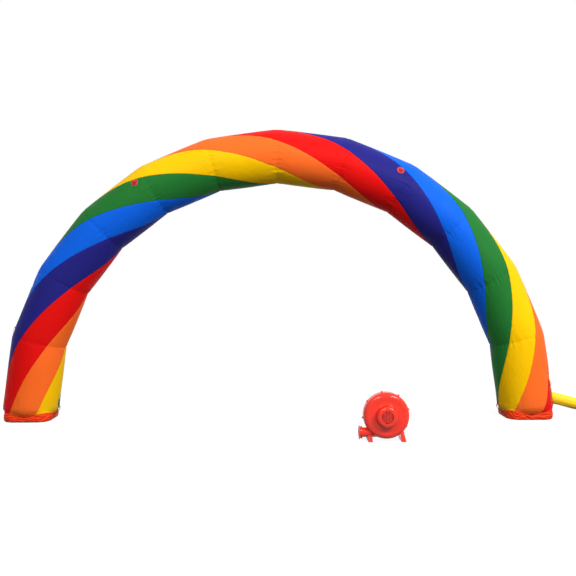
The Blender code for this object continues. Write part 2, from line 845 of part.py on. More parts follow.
def make_hem():
    """Folded hem round the sleeve's mouth."""
    end = sleeve_path()[-1]
    start = end - Vector((HEM_WIDTH, 0, 0))
    outer = sleeve_rings([start, end], SLEEVE_RADIUS + HEM_THICKNESS)
    inner = sleeve_rings([start, end], SLEEVE_RADIUS + GAP)
    return paint(hoop("sleeve_hem", outer + inner[::-1]), SLEEVE_COLOUR, 0.55)


def make_collar(bore):
    """Reinforcing patch round the sleeve's root."""
    first = OUTSIDE - COLLAR_FACETS / 2 * FACET_ANGLE
    turns = [first + index * FACET_ANGLE for index in range(COLLAR_FACETS + 1)]
    grids = []
    for lift in (GAP + COLLAR_THICKNESS, GAP):
        grids.append([
            [leg_point(RIGHT, COLLAR_TOP, turn, lift) for turn in turns],
            [seam_point(TUBE_COUNT - 1, 1, turn, lift) for turn in turns],
            [foot_point(RIGHT, 1 / FOOT_ROWS, turn, lift) for turn in turns],
        ])
    collar = sheet("sleeve_collar", *grids)
    boolean(collar, bore, "DIFFERENCE")
    return paint(collar, PATCH_COLOUR, 0.5)


def make_tie_strap():
    """Webbing strap, sewn above the collar, that closes the sleeve off."""
    tube = TUBE_COUNT - 1
    rise = COLLAR_TOP + STRAP_FROM_COLLAR - SPRING_HEIGHT
    low = half_length(STRAP_TURN) - rise / math.cos(HALF_BEND)
    half = STRAP_WIDTH / 2
    columns = [(across, low - STRAP_LENGTH, low) for across in (-half, 0, half)]
    strap = sewn_patch("sleeve_tie_strap", tube, STRAP_TURN, columns, STRAP_THICKNESS)
    return paint(strap, STRAP_COLOUR, 0.6)


# Blower: everything under its frame has Z from the front to the back of the blower


def blower_frame():
    """Empty on the impeller's axis, with X across, Y down and Z to the back."""
    empty = bpy.data.objects.new("blower_frame", None)
    bpy.context.scene.collection.objects.link(empty)
    empty.location = (CENTRE_RADIUS + BLOWER_FROM_CENTRE, -BLOWER_FORWARD, AXIS_HEIGHT)
    empty.rotation_euler = (-math.pi / 2, 0, 0)
    return empty


def arc_points(radius, depth, rounding, first, last, steps):
    """Round shoulder of a turned profile about a centre given by its radius and depth."""
    points = []
    for step in range(steps + 1):
        turn = first + (last - first) * step / steps
        points.append((radius + rounding * math.cos(turn), depth + rounding * math.sin(turn)))
    return points


def front_face():
    """Depth of the dished front face."""
    return DISH_DEPTH - HOUSING_HALF_DEPTH


def housing_profile(grow, front_hole, back_hole):
    """Turned shape of the housing from front to back, grown outwards all over."""
    dome_front = front_face() - DOME_HEIGHT
    shoulder_centre = HOUSING_RADIUS - SHOULDER_RADIUS
    depth_centre = HOUSING_HALF_DEPTH - SHOULDER_RADIUS
    dome_centre = DOME_RADIUS - DOME_TAPER - DOME_ROUND
    quarter = math.pi / 2
    dome_round, shoulder_round = DOME_ROUND + grow, SHOULDER_RADIUS + grow
    dome = arc_points(dome_centre, dome_front + DOME_ROUND, dome_round, -quarter, 0, DOME_STEPS)
    near = arc_points(shoulder_centre, -depth_centre, shoulder_round, -quarter, 0, SHOULDER_STEPS)
    far = arc_points(shoulder_centre, depth_centre, shoulder_round, 0, quarter, SHOULDER_STEPS)
    profile = [(front_hole, dome_front - grow)]
    profile += dome
    profile += [(DOME_RADIUS + grow, front_face() - grow)]
    profile += [(DISH_RADIUS - DISH_SLOPE, front_face() - grow)]
    profile += [(DISH_RADIUS, -HOUSING_HALF_DEPTH - grow)]
    profile += near
    profile += far
    profile += [(back_hole, HOUSING_HALF_DEPTH + grow)]
    return profile


def housing_hollow(frame):
    """The space inside the housing, with its vent in front and its inlet at the back."""
    profile = housing_profile(-HOUSING_WALL, VENT_RADIUS, INLET_RADIUS)
    front, back = profile[0][1] - OVERRUN, profile[-1][1] + OVERRUN
    profile = [(VENT_RADIUS, front)] + profile + [(INLET_RADIUS, back)]
    return as_cutter(turned("housing_hollow", profile, HOUSING_SIDES, None, frame))


def pipe_matrix():
    """Z along the outlet pipe, away from the housing."""
    start = Vector((0, PIPE_DROP, 0))
    return frame_matrix(start, Vector((0, 1, 0)), Vector((0, 0, -1)), Vector((-1, 0, 0)))


def lug_places():
    for index in range(LUG_COUNT):
        turn = LUG_FIRST + index * LUG_STEP
        reach = HOUSING_RADIUS + LUG_STAND
        yield index + 1, Vector((reach * math.cos(turn), -reach * math.sin(turn), 0))


def joined_cutter(name, pieces):
    """Several separate cutters as one object."""
    bm = bmesh.new()
    for piece in pieces:
        piece.data.transform(piece.matrix_basis)
        bm.from_mesh(piece.data)
        parent = piece.parent
        bpy.data.objects.remove(piece, do_unlink=True)
    return as_cutter(new_object(name, bm, None, parent))


def make_housing(frame):
    """Front and rear shell: one moulded shape, hollowed, then split at the rim."""
    hollow = housing_hollow(frame)
    pipe = [(PIPE_RADIUS, 0), (PIPE_RADIUS, PIPE_END)]
    bore = [(PIPE_RADIUS - HOUSING_WALL, 0), (PIPE_RADIUS - HOUSING_WALL, PIPE_END + OVERRUN)]
    pipe_solid = as_cutter(turned("outlet_pipe_solid", pipe, PIPE_SIDES, pipe_matrix(), frame))
    pipe_bore = as_cutter(turned("outlet_pipe_bore", bore, PIPE_SIDES, pipe_matrix(), frame))
    lug = [(LUG_RADIUS, -LUG_HALF_LENGTH), (LUG_RADIUS, LUG_HALF_LENGTH)]
    hole = [
        (SCREW_RADIUS + GAP, -LUG_HALF_LENGTH - OVERRUN),
        (SCREW_RADIUS + GAP, SCREW_REACH + GAP),
    ]
    lugs, holes = [], []
    for number, place in lug_places():
        matrix = Matrix.Translation(place)
        lugs.append(turned(f"lug_{number}", lug, LUG_SIDES, matrix, frame))
        holes.append(turned(f"lug_hole_{number}", hole, SCREW_SIDES, matrix, frame))
    lug_solid = joined_cutter("rim_lugs", lugs)
    lug_holes = joined_cutter("rim_lug_holes", holes)
    reach = HOUSING_RADIUS + PIPE_END
    for name, side in (("front_housing", -1), ("rear_housing", 1)):
        low_depth, high_depth = (-reach, GAP / 2) if side > 0 else (-GAP / 2, reach)
        other_half = as_cutter(cuboid(
            f"{name}_split",
            (-reach, -reach, low_depth),
            (reach, reach, high_depth),
            None,
            frame,
        ))
        shell = turned(name, housing_profile(0, VENT_RADIUS, INLET_RADIUS), HOUSING_SIDES, None, frame)
        boolean(shell, pipe_solid, "UNION")
        boolean(shell, lug_solid, "UNION")
        boolean(shell, hollow, "DIFFERENCE")
        boolean(shell, pipe_bore, "DIFFERENCE")
        boolean(shell, lug_holes, "DIFFERENCE")
        boolean(shell, other_half, "DIFFERENCE")
        paint(smooth(shell), SHELL_COLOUR, 0.25)


def make_rim_screws(frame):
    head_top = -LUG_HALF_LENGTH - GAP - SCREW_HEAD_HEIGHT
    profile = [
        (SCREW_HEAD_RADIUS, head_top),
        (SCREW_HEAD_RADIUS, head_top + SCREW_HEAD_HEIGHT),
        (SCREW_RADIUS, head_top + SCREW_HEAD_HEIGHT),
        (SCREW_RADIUS, SCREW_REACH),
    ]
    for number, place in lug_places():
        screw = turned(f"rim_screw_{number}", profile, SCREW_SIDES, Matrix.Translation(place), frame)
        paint(screw, STEEL, 0.35, 1.0)


def make_outlet_flange(frame):
    """Ring on the end of the pipe, grooved for the tie that holds a sleeve."""
    inner = PIPE_RADIUS + GAP
    lip_end = PIPE_END - FLANGE_LIP
    groove_end = lip_end - FLANGE_GROOVE
    profile = [
        (inner, PIPE_END),
        (FLANGE_RADIUS, PIPE_END),
        (FLANGE_RADIUS, lip_end),
        (FLANGE_GROOVE_RADIUS, lip_end - FLANGE_SLOPE),
        (FLANGE_GROOVE_RADIUS, groove_end),
        (FLANGE_BEAD_RADIUS, groove_end - FLANGE_SLOPE),
        (FLANGE_BEAD_RADIUS, PIPE_END - FLANGE_LENGTH),
        (inner, PIPE_END - FLANGE_LENGTH),
    ]
    flange = turned_ring("outlet_flange", profile, PIPE_SIDES, pipe_matrix(), frame)
    return paint(smooth(flange), SHELL_COLOUR, 0.28)


def slot_cutter(name, radius, rows, bar, low, high, frame):
    """Rows of slots across a disc, parted by upright ribs and clear of its rim and middle."""
    limit = radius - GRILLE_EDGE
    pitch = 2 * limit / rows
    column_width = 2 * limit / GRILLE_COLUMNS
    pieces = []
    for row in range(rows):
        middle = -limit + (row + 0.5) * pitch
        near, far = middle - (pitch - bar) / 2, middle + (pitch - bar) / 2
        half = math.sqrt(limit**2 - max(abs(near), abs(far)) ** 2)
        for column in range(GRILLE_COLUMNS):
            left = -limit + column * column_width + GRILLE_RIB / 2
            right = left + column_width - GRILLE_RIB
            left, right = max(left, -half), min(right, half)
            if min(abs(near), abs(far)) < GRILLE_BOSS_RADIUS or near < 0 < far:
                left = max(left, GRILLE_BOSS_RADIUS) if left > 0 else left
                right = min(right, -GRILLE_BOSS_RADIUS) if right < 0 else right
            if right - left > bar:
                label = f"{name}_{row}_{column}"
                pieces.append(cuboid(label, (left, near, low), (right, far, high), None, frame))
    return joined_cutter(name, pieces)


def make_vent_grille(frame):
    """Slotted disc that lets the motor breathe, in the middle of the dome."""
    front = front_face() - DOME_HEIGHT
    radius = VENT_RADIUS - GAP
    profile = [(radius, front), (radius, front + GRILLE_THICKNESS)]
    grille = turned("vent_grille", profile, HOUSING_SIDES, None, frame)
    low, high = front - GRILLE_THICKNESS, front + 2 * GRILLE_THICKNESS
    slots = slot_cutter("vent_slots", radius, GRILLE_ROWS, GRILLE_BAR, low, high, frame)
    boolean(grille, slots, "DIFFERENCE")
    return paint(grille, SHELL_COLOUR, 0.3)


def make_inlet_guard(frame):
    """Slotted disc over the air inlet at the back."""
    front = HOUSING_HALF_DEPTH + GAP
    radius = INLET_RADIUS + GUARD_OVERLAP
    profile = [(radius, front), (radius, front + GRILLE_THICKNESS)]
    guard = turned("inlet_guard", profile, HOUSING_SIDES, None, frame)
    low, high = front - GRILLE_THICKNESS, front + 2 * GRILLE_THICKNESS
    slots = slot_cutter("inlet_slots", INLET_RADIUS, GUARD_ROWS, GUARD_BAR, low, high, frame)
    boolean(guard, slots, "DIFFERENCE")
    return paint(guard, DARK_PLASTIC, 0.45)


def plate_front():
    return front_face() + HOUSING_WALL + GAP


def plate_back():
    return plate_front() + PLATE_THICKNESS


def motor_screw_places():
    for index in range(MOTOR_SCREW_COUNT):
        turn = 2 * math.pi * (index + 0.5) / MOTOR_SCREW_COUNT
        yield index + 1, Vector((math.cos(turn), math.sin(turn), 0)) * MOTOR_SCREW_CIRCLE


def shaft_cutter(name, front, back, frame):
    """Clearance hole for the shaft, right through a piece from its front to its back."""
    radius = SHAFT_RADIUS + GAP
    profile = [(radius, front - OVERRUN), (radius, back + OVERRUN)]
    return as_cutter(turned(name, profile, SHAFT_SIDES, None, frame))


def make_motor(frame):
    """Motor on its plate inside the dome, held by screws from the impeller's side."""
    motor_back = plate_front() - GAP
    motor_front = motor_back - MOTOR_LENGTH
    plate_radius = DOME_RADIUS + PLATE_OVERLAP
    plate = turned("motor_plate", [(plate_radius, plate_front()), (plate_radius, plate_back())],
                   HOUSING_SIDES, None, frame)
    motor = turned("motor_body", [
        (MOTOR_RADIUS - MOTOR_CHAMFER, motor_front),
        (MOTOR_RADIUS, motor_front + MOTOR_CHAMFER),
        (MOTOR_RADIUS, motor_back),
    ], MOTOR_SIDES, None, frame)
    bore = shaft_cutter("shaft_bore", motor_front, plate_back(), frame)
    hole_profile = [
        (SCREW_RADIUS + GAP, motor_back - MOTOR_SCREW_DEPTH - GAP),
        (SCREW_RADIUS + GAP, plate_back() + OVERRUN),
    ]
    head = plate_back() + GAP
    screw_profile = [
        (SCREW_RADIUS, motor_back - MOTOR_SCREW_DEPTH),
        (SCREW_RADIUS, head),
        (SCREW_HEAD_RADIUS, head),
        (SCREW_HEAD_RADIUS, head + SCREW_HEAD_HEIGHT),
    ]
    holes = []
    for number, place in motor_screw_places():
        matrix = Matrix.Translation(place)
        holes.append(turned(f"motor_hole_{number}", hole_profile, SCREW_SIDES, matrix, frame))
        screw = turned(f"motor_screw_{number}", screw_profile, SCREW_SIDES, matrix, frame)
        paint(screw, STEEL, 0.35, 1.0)
    screw_holes = joined_cutter("motor_screw_holes", holes)
    for obj in (plate, motor):
        boolean(obj, bore, "DIFFERENCE")
        boolean(obj, screw_holes, "DIFFERENCE")
    paint(plate, STEEL, 0.4, 1.0)
    paint(smooth(motor), MOTOR_COLOUR, 0.45, 0.6)


def wheel_depths():
    """Depth of the impeller's back plate, of its ring and of its hub's end."""
    back = plate_back() + GAP + SCREW_HEAD_HEIGHT + WHEEL_FROM_PLATE
    return back, back + WHEEL_WIDTH, back + HUB_LENGTH


def make_impeller(frame):
    """Moulded wheel: plate and hub, leaning vanes, and a ring round the inlet."""
    back, ring_end, hub_end = wheel_depths()
    plate = turned("impeller", [
        (WHEEL_RADIUS, back),
        (WHEEL_RADIUS, back + WHEEL_PLATE),
        (HUB_RADIUS, back + WHEEL_PLATE),
        (HUB_RADIUS, hub_end),
    ], HOUSING_SIDES, None, frame)
    ring = as_cutter(turned_ring("impeller_ring", [
        (VANE_INNER_RADIUS, ring_end - WHEEL_PLATE),
        (WHEEL_RADIUS, ring_end - WHEEL_PLATE),
        (WHEEL_RADIUS, ring_end),
        (VANE_INNER_RADIUS, ring_end),
    ], HOUSING_SIDES, None, frame))
    vane_length = WHEEL_RADIUS - VANE_INNER_RADIUS
    half = VANE_THICKNESS / 2
    embed = WHEEL_PLATE / 2
    vanes = []
    for index in range(VANE_COUNT):
        turn = 2 * math.pi * index / VANE_COUNT
        middle = Matrix.Translation((VANE_INNER_RADIUS + vane_length / 2, 0, 0))
        lean = Matrix.Rotation(VANE_LEAN, 4, "Z")
        matrix = Matrix.Rotation(turn, 4, "Z") @ middle @ lean
        reach = vane_length / 2 * math.cos(VANE_LEAN)
        low, high = (-reach, -half, back + embed), (reach, half, ring_end - embed)
        vanes.append(cuboid(f"vane_{index}", low, high, matrix, frame))
    vane_solid = joined_cutter("impeller_vanes", vanes)
    bore = shaft_cutter("impeller_bore", back, hub_end, frame)
    boolean(plate, vane_solid, "UNION")
    boolean(plate, ring, "UNION")
    boolean(plate, bore, "DIFFERENCE")
    return paint(plate, DARK_PLASTIC, 0.5)


def make_shaft_and_nut(frame):
    hub_end = wheel_depths()[2]
    start = plate_front() - GAP - MOTOR_LENGTH - SHAFT_BEHIND_MOTOR
    end = hub_end + GAP + NUT_HEIGHT + SHAFT_PAST_NUT
    shaft_profile = [(SHAFT_RADIUS, start), (SHAFT_RADIUS, end)]
    shaft = turned("motor_shaft", shaft_profile, SHAFT_SIDES, None, frame)
    paint(smooth(shaft), STEEL, 0.3, 1.0)
    nut_front, nut_back = hub_end + GAP, hub_end + GAP + NUT_HEIGHT
    nut_profile = [(NUT_RADIUS, nut_front), (NUT_RADIUS, nut_back)]
    nut = turned("impeller_nut", nut_profile, NUT_SIDES, None, frame)
    boolean(nut, shaft_cutter("nut_bore", nut_front, nut_back, frame), "DIFFERENCE")
    return paint(nut, STEEL, 0.35, 1.0)


def make_feet(frame):
    """Block under the outlet pipe and splayed strut on the other side, shaped to the housing."""
    seat = housing_profile(GAP, VENT_RADIUS, INLET_RADIUS)
    seat_cutter = as_cutter(turned("foot_seat", seat, HOUSING_SIDES, None, frame))
    pipe = [(PIPE_RADIUS + GAP, 0), (PIPE_RADIUS + GAP, PIPE_END + OVERRUN)]
    pipe_seat = as_cutter(turned("foot_pipe_seat", pipe, PIPE_SIDES, pipe_matrix(), frame))
    outlines = {
        "left_foot": [
            (-LEFT_FOOT_FAR, LEFT_FOOT_TOP_DROP),
            (-LEFT_FOOT_NEAR, LEFT_FOOT_TOP_DROP),
            (-LEFT_FOOT_NEAR, AXIS_HEIGHT),
            (-LEFT_FOOT_FAR, AXIS_HEIGHT),
        ],
        "right_foot": [
            (RIGHT_FOOT_TOP_NEAR, RIGHT_FOOT_TOP_DROP),
            (RIGHT_FOOT_TOP_FAR, RIGHT_FOOT_TOP_DROP),
            (RIGHT_FOOT_BOTTOM_FAR, AXIS_HEIGHT),
            (RIGHT_FOOT_BOTTOM_NEAR, AXIS_HEIGHT),
        ],
    }
    for name, outline in outlines.items():
        top = min(drop for _, drop in outline)
        rows = []
        for end in (-1, 1):
            row = []
            for across, drop in outline:
                depth = FOOT_TOP_DEPTH if drop == top else FOOT_DEPTH
                row.append(Vector((across, drop, end * depth / 2)))
            rows.append(row)
        foot = block(f"blower_{name}", rows, None, frame)
        boolean(foot, seat_cutter, "DIFFERENCE")
        boolean(foot, pipe_seat, "DIFFERENCE")
        paint(foot, SHELL_COLOUR, 0.3)


def box_frame(frame, depth):
    """Empty on the switch box's middle, with its X up the blower's side."""
    empty = bpy.data.objects.new("switch_frame", None)
    bpy.context.scene.collection.objects.link(empty)
    empty.parent = frame
    empty.location = (BOX_CIRCLE * math.cos(BOX_TURN), -BOX_CIRCLE * math.sin(BOX_TURN), depth)
    empty.rotation_euler = (0, 0, -BOX_TURN)
    return empty


def make_switch(frame):
    """Box with a rocker switch in its face and a cable gland in its side."""
    base = HOUSING_HALF_DEPTH + GAP
    mount = box_frame(frame, base)
    half = BOX_SIZE / 2
    cut = half - BOX_CORNER
    outline = [(-half, -cut), (-cut, -half), (cut, -half), (half, -cut), (half, cut), (cut, half),
               (-cut, half), (-half, cut)]
    rows = [[Vector((x, y, z)) for x, y in outline] for z in (0, BOX_HEIGHT)]
    box = block("switch_box", rows, None, mount)
    half_pocket, half_pocket_width = POCKET_LENGTH / 2, POCKET_WIDTH / 2
    pocket_floor = BOX_HEIGHT - POCKET_DEPTH
    pocket = as_cutter(cuboid(
        "switch_pocket",
        (-half_pocket, -half_pocket_width, pocket_floor),
        (half_pocket, half_pocket_width, BOX_HEIGHT + OVERRUN),
        None,
        mount,
    ))
    gland_height = (BOX_HEIGHT - POCKET_DEPTH) / 2
    gland_matrix = frame_matrix(
        Vector((0, half, gland_height)), Vector((1, 0, 0)), Vector((0, 0, -1)), Vector((0, 1, 0))
    )
    stub = [(GLAND_STUB_RADIUS + GAP, -GLAND_STUB - GAP), (GLAND_STUB_RADIUS + GAP, OVERRUN)]
    gland_hole = as_cutter(turned("gland_seat", stub, GLAND_SIDES, gland_matrix, mount))
    boolean(box, pocket, "DIFFERENCE")
    boolean(box, gland_hole, "DIFFERENCE")
    paint(box, DARK_PLASTIC, 0.5)

    gland = turned("cable_gland", [
        (GLAND_STUB_RADIUS, -GLAND_STUB),
        (GLAND_STUB_RADIUS, GAP),
        (GLAND_RADIUS, GAP),
        (GLAND_RADIUS, GLAND_COLLAR),
        (GLAND_TAPER_RADIUS, GLAND_LENGTH),
    ], GLAND_SIDES, gland_matrix, mount)
    inlet = [(GLAND_HOLE_RADIUS, 0), (GLAND_HOLE_RADIUS, GLAND_LENGTH + OVERRUN)]
    inlet_cutter = as_cutter(turned("gland_bore", inlet, GLAND_SIDES, gland_matrix, mount))
    boolean(gland, inlet_cutter, "DIFFERENCE")
    paint(smooth(gland), DARK_PLASTIC, 0.5)

    pivot = pocket_floor + ROCKER_THICKNESS + ROCKER_STAND
    round_radius = pivot - pocket_floor - GAP
    half_rocker = half_pocket - ROCKER_SLACK
    top = ROCKER_THICKNESS
    outline = [(half_rocker, top), (0, top - ROCKER_DIP), (-half_rocker, top), (-half_rocker, 0)]
    for step in range(ROCKER_ROUND_STEPS + 1):
        turn = math.pi * (1 + step / ROCKER_ROUND_STEPS)
        outline.append((round_radius * math.cos(turn), round_radius * math.sin(turn)))
    outline.append((half_rocker, 0))
    pin = Vector((0, 0, pivot))
    along = frame_matrix(pin, Vector((1, 0, 0)), Vector((0, 0, 1)), Vector((0, -1, 0)))
    tilted = along @ Matrix.Rotation(-ROCKER_TILT, 4, "Z")
    rocker = extruded("rocker_switch", outline, POCKET_WIDTH - 2 * ROCKER_SLACK, tilted, mount)
    paint(rocker, BLACK, 0.35)


clear_scene()

# The envelope: stripes, feet, loops and tether points
bore_cutter = sleeve_bore("sleeve_opening", SLEEVE_RADIUS - SKIN, SLEEVE_RADIUS, SLEEVE_RADIUS)
for stripe_index, stripe_name in enumerate(STRIPE_COLOURS):
    make_stripe(stripe_index, stripe_name, bore_cutter)
for leg_side, leg_name in ((LEFT, "left"), (RIGHT, "right")):
    make_band(leg_side, leg_name)
    make_sole(leg_side, leg_name)
    make_anchor_loop(leg_side, INSIDE, f"{leg_name}_inner")
make_anchor_loop(LEFT, OUTSIDE, "left_outer")
make_anchor_loop(RIGHT, BACK, "right_back")
for end_name, tether_tube in TETHER_TUBES.items():
    for at_front, face_name in ((True, "front"), (False, "back")):
        full_name = f"{face_name}_{end_name}"
        make_tether_patch(tether_tube, at_front, full_name)
        make_tether_tab(tether_tube, at_front, full_name)
        make_tether_ring(tether_tube, at_front, full_name)

# The deflation zip and the inflation sleeve
make_zip_tape(LEFT, "front")
make_zip_tape(RIGHT, "back")
make_zip_slider()
make_zip_pull()
make_collar(bore_cutter)
make_sleeve()
make_hem()
make_tie_strap()

# The blower
blower = blower_frame()
make_housing(blower)
make_rim_screws(blower)
make_outlet_flange(blower)
make_vent_grille(blower)
make_inlet_guard(blower)
make_motor(blower)
make_impeller(blower)
make_shaft_and_nut(blower)
make_feet(blower)
make_switch(blower)
bpy.context.view_layer.update()
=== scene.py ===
"""Dressed scene of an inflatable rainbow arch and the blower that fills it.

Metres, +Z up, +X across the arch, +Y away from the front. The origin is the middle of the left
sole, on the floor. The sections follow the arch as it is sewn, and then the blower.
"""

import json
import math

import bmesh
import bpy
from mathutils import Matrix, Vector, noise
from mathutils.bvhtree import BVHTree


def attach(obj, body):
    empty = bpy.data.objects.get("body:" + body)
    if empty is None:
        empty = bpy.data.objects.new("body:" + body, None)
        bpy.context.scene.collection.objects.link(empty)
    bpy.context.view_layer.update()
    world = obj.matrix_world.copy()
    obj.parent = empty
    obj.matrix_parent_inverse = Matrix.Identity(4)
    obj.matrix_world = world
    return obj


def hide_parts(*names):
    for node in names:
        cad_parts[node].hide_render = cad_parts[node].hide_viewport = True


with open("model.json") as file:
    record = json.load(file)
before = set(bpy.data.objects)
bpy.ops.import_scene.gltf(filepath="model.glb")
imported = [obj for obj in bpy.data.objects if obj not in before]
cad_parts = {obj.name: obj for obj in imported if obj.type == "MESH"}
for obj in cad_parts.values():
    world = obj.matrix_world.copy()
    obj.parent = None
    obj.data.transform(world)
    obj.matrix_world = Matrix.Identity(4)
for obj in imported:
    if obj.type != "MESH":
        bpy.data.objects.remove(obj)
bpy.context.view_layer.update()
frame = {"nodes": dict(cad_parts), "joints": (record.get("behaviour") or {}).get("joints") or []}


# --- Viewpoint -----------------------------------------------------------------------------
# Level, at a grown-up's eye height and 8.5 m in front of the arch. The picture's middle lies a
# little to the right of the arch and below eye level, and it is turned by a third of a degree.

def new_piece(name, data=None):
    """An object in the scene, with an empty mesh if it has no data yet."""
    piece = bpy.data.objects.new(name, data or bpy.data.meshes.new(name))
    bpy.context.scene.collection.objects.link(piece)
    return piece


camera = new_piece("camera", bpy.data.cameras.new("camera"))
camera.data.sensor_width = 36
camera.data.lens = 47.6
camera.data.shift_x = 0.018
camera.data.shift_y = -0.025
camera.matrix_world = (
    Matrix.Translation((2.752, -8.5, 1.6))
    @ Matrix.Rotation(math.radians(90), 4, "X")
    @ Matrix.Rotation(math.radians(-0.3), 4, "Z")
)
bpy.context.scene.camera = camera
bpy.context.scene.view_settings.view_transform = "Standard"


# --- Studio --------------------------------------------------------------------------------
# A white room lit from above and the right: a pale floor that keeps the shadows, white walls all
# round, and two wide soft lamps above and in front, one to each side, which give the blower its
# two streaks.

LAMPS = {
    "lamp_left": ((0.8, -7.4, 6.6), (3.8, 1.0), 270),
    "lamp_right": ((8.6, -6.8, 6.6), (3.8, 1.0), 640),
}
for lamp_name, (place, sides, watts) in LAMPS.items():
    lamp = new_piece(lamp_name, bpy.data.lights.new(lamp_name, "AREA"))
    lamp.data.shape = "RECTANGLE"
    lamp.data.size, lamp.data.size_y = sides
    lamp.data.energy = watts
    lamp.location = place
    aim = Vector((2.75, 0, 1.4)) - Vector(place)
    lamp.rotation_euler = aim.to_track_quat("-Z", "Y").to_euler()


def fed(node, inputs):
    """Gives a node's inputs plain values, or links them to what other nodes give."""
    for label, value in inputs.items():
        value = getattr(value, "socket", value)
        if isinstance(value, bpy.types.Node):
            value = value.outputs[0]
        if isinstance(value, bpy.types.NodeSocket):
            node.id_data.links.new(value, node.inputs[label])
        else:
            node.inputs[label].default_value = value
    return node


def added(tree, kind, inputs=None, **settings):
    """A new node in a tree, with its settings and then its inputs."""
    node = tree.nodes.new(kind)
    for label, value in settings.items():
        setattr(node, label, value)
    return fed(node, inputs or {})


def seen_directly(tree):
    """1 where a ray comes from the camera or from a reflection, and 0 where it carries light."""
    path = added(tree, "ShaderNodeLightPath").outputs
    total = path["Is Camera Ray"]
    for name in ("Is Glossy Ray", "Is Transmission Ray"):
        total = added(tree, "ShaderNodeMath", {0: total, 1: path[name]}, operation="MAXIMUM")
    return total


LIGHT_FROM_BELOW = 0.02
LIGHT_FROM_ABOVE = 1.1
LIGHT_DIRECTION = (0.38, -0.12, 0.92)
world = bpy.data.worlds.new("white_room")
world.use_nodes = True
bpy.context.scene.world = world
air = world.node_tree
ray = added(air, "ShaderNodeTexCoord").outputs["Generated"]
towards_light = added(air, "ShaderNodeVectorMath", {0: ray, 1: LIGHT_DIRECTION},
                      operation="DOT_PRODUCT")
from_above = added(air, "ShaderNodeMapRange", {
    "Value": towards_light.outputs["Value"], "From Min": -0.1, "From Max": 0.8,
    "To Min": LIGHT_FROM_BELOW, "To Max": LIGHT_FROM_ABOVE,
})
brightness = added(air, "ShaderNodeMapRange",
                   {"Value": seen_directly(air), "To Min": from_above, "To Max": 1.0})
fed(air.nodes["Background"], {"Color": (1, 1, 1, 1), "Strength": brightness})

FLOOR_REACH = 60.0
FLOOR_HEIGHT = -0.0005
FLOOR_GLOW = 0.90
corners = [(x * FLOOR_REACH, y * FLOOR_REACH, FLOOR_HEIGHT)
           for x, y in ((-1, -1), (1, -1), (1, 1), (-1, 1))]
floor_mesh = bpy.data.meshes.new("floor")
floor_mesh.from_pydata(corners, [], [(0, 1, 2, 3)])
floor = new_piece("floor", floor_mesh)
floor_paint = bpy.data.materials.new("pale_floor")
floor_paint.use_nodes = True
floor_tree = floor_paint.node_tree
glow = added(floor_tree, "ShaderNodeMath", {0: seen_directly(floor_tree), 1: FLOOR_GLOW},
             operation="MULTIPLY")
fed(floor_tree.nodes["Principled BSDF"], {
    "Base Color": (0.11, 0.11, 0.11, 1), "Roughness": 0.9, "Specular IOR Level": 0.1,
    "Emission Color": (1, 1, 1, 1), "Emission Strength": glow,
})
floor_mesh.materials.append(floor_paint)


# --- Envelope ------------------------------------------------------------------------------
# Six coloured stripes of coated nylon, sewn side by side into twelve straight tubes that meet at
# mitred seams, and wound one stripe further at each tube. Air pressure rounds each tube between
# its seams, and the cloth puckers at the seams, most of all inside the bends.

ARCH = {
    "Tube Radius": 0.2935,
    "Ring Radius": 2.751967,
    "Spring Height": 0.156,
    "Base Half": 0.25,
    "Base Corner": 0.12,
    "Band Low": 0.055,
    "Band High": 0.095,
}
TUBES = 12
BEND = math.pi / TUBES
STRIPE_TURN = math.pi / 3
FOOT_TURN = math.radians(60)
TUBE_LENGTH = 2 * ARCH["Ring Radius"] * math.sin(BEND / 2)
STRIPE_WIDTH = STRIPE_TURN * ARCH["Tube Radius"]
BORDER_BOW = 0.080
FOOT_TWIST = 0.14


class Field:
    """A number that a node tree works out at every point. Sums on it add Math nodes."""

    def __init__(self, socket):
        self.socket = socket

    def __neg__(self):
        return worked("MULTIPLY", self, -1.0)


for sign, sum_name in {"add": "ADD", "sub": "SUBTRACT", "mul": "MULTIPLY",
                       "truediv": "DIVIDE"}.items():
    setattr(Field, f"__{sign}__", lambda self, other, kind=sum_name: worked(kind, self, other))
    setattr(Field, f"__r{sign}__", lambda self, other, kind=sum_name: worked(kind, other, self))

PLAIN_SUMS = {
    "SINE": math.sin,
    "COSINE": math.cos,
    "FLOOR": math.floor,
    "ABSOLUTE": abs,
    "SQRT": math.sqrt,
    "MAXIMUM": max,
    "MINIMUM": min,
    "GREATER_THAN": lambda a, b: float(a > b),
}


def worked(operation, *values):
    """One Math node on fields and numbers. Numbers alone are worked out at once."""
    fields = [value for value in values if isinstance(value, Field)]
    if not fields:
        return PLAIN_SUMS[operation](*values)
    tree = fields[0].socket.id_data
    return Field(added(tree, "ShaderNodeMath", dict(enumerate(values)),
                       operation=operation).outputs[0])


def clamped(value, top=1.0):
    return worked("MAXIMUM", worked("MINIMUM", value, top), 0.0)


def eased(value, start, end):
    """0 before the start, 1 after the end, and a smooth rise between them."""
    share = clamped((value - start) * (1 / (end - start)))
    return share * share * (3.0 - 2.0 * share)


def square_reach(size, turn):
    """From the middle of a foot to the edge of its base, a square with round corners."""
    across = worked("ABSOLUTE", worked("SINE", turn))
    along = worked("ABSOLUTE", worked("COSINE", turn))
    half, corner = size["Base Half"], size["Base Corner"]
    core = half - corner
    straight = half / worked("MAXIMUM", across, along)
    diagonal = core * (across + along)
    inner = worked("MAXIMUM", diagonal * diagonal - 2.0 * core * core + corner * corner, 0.0)
    rounded = diagonal + worked("SQRT", inner)
    at_corner = worked("GREATER_THAN", worked("MINIMUM", across, along) * straight, core)
    return straight + (rounded - straight) * at_corner


def band_height(size, turn):
    """The base band stands higher at the corners of the foot."""
    wave = worked("SINE", 2.0 * turn)
    return size["Band Low"] + (size["Band High"] - size["Band Low"]) * wave * wave


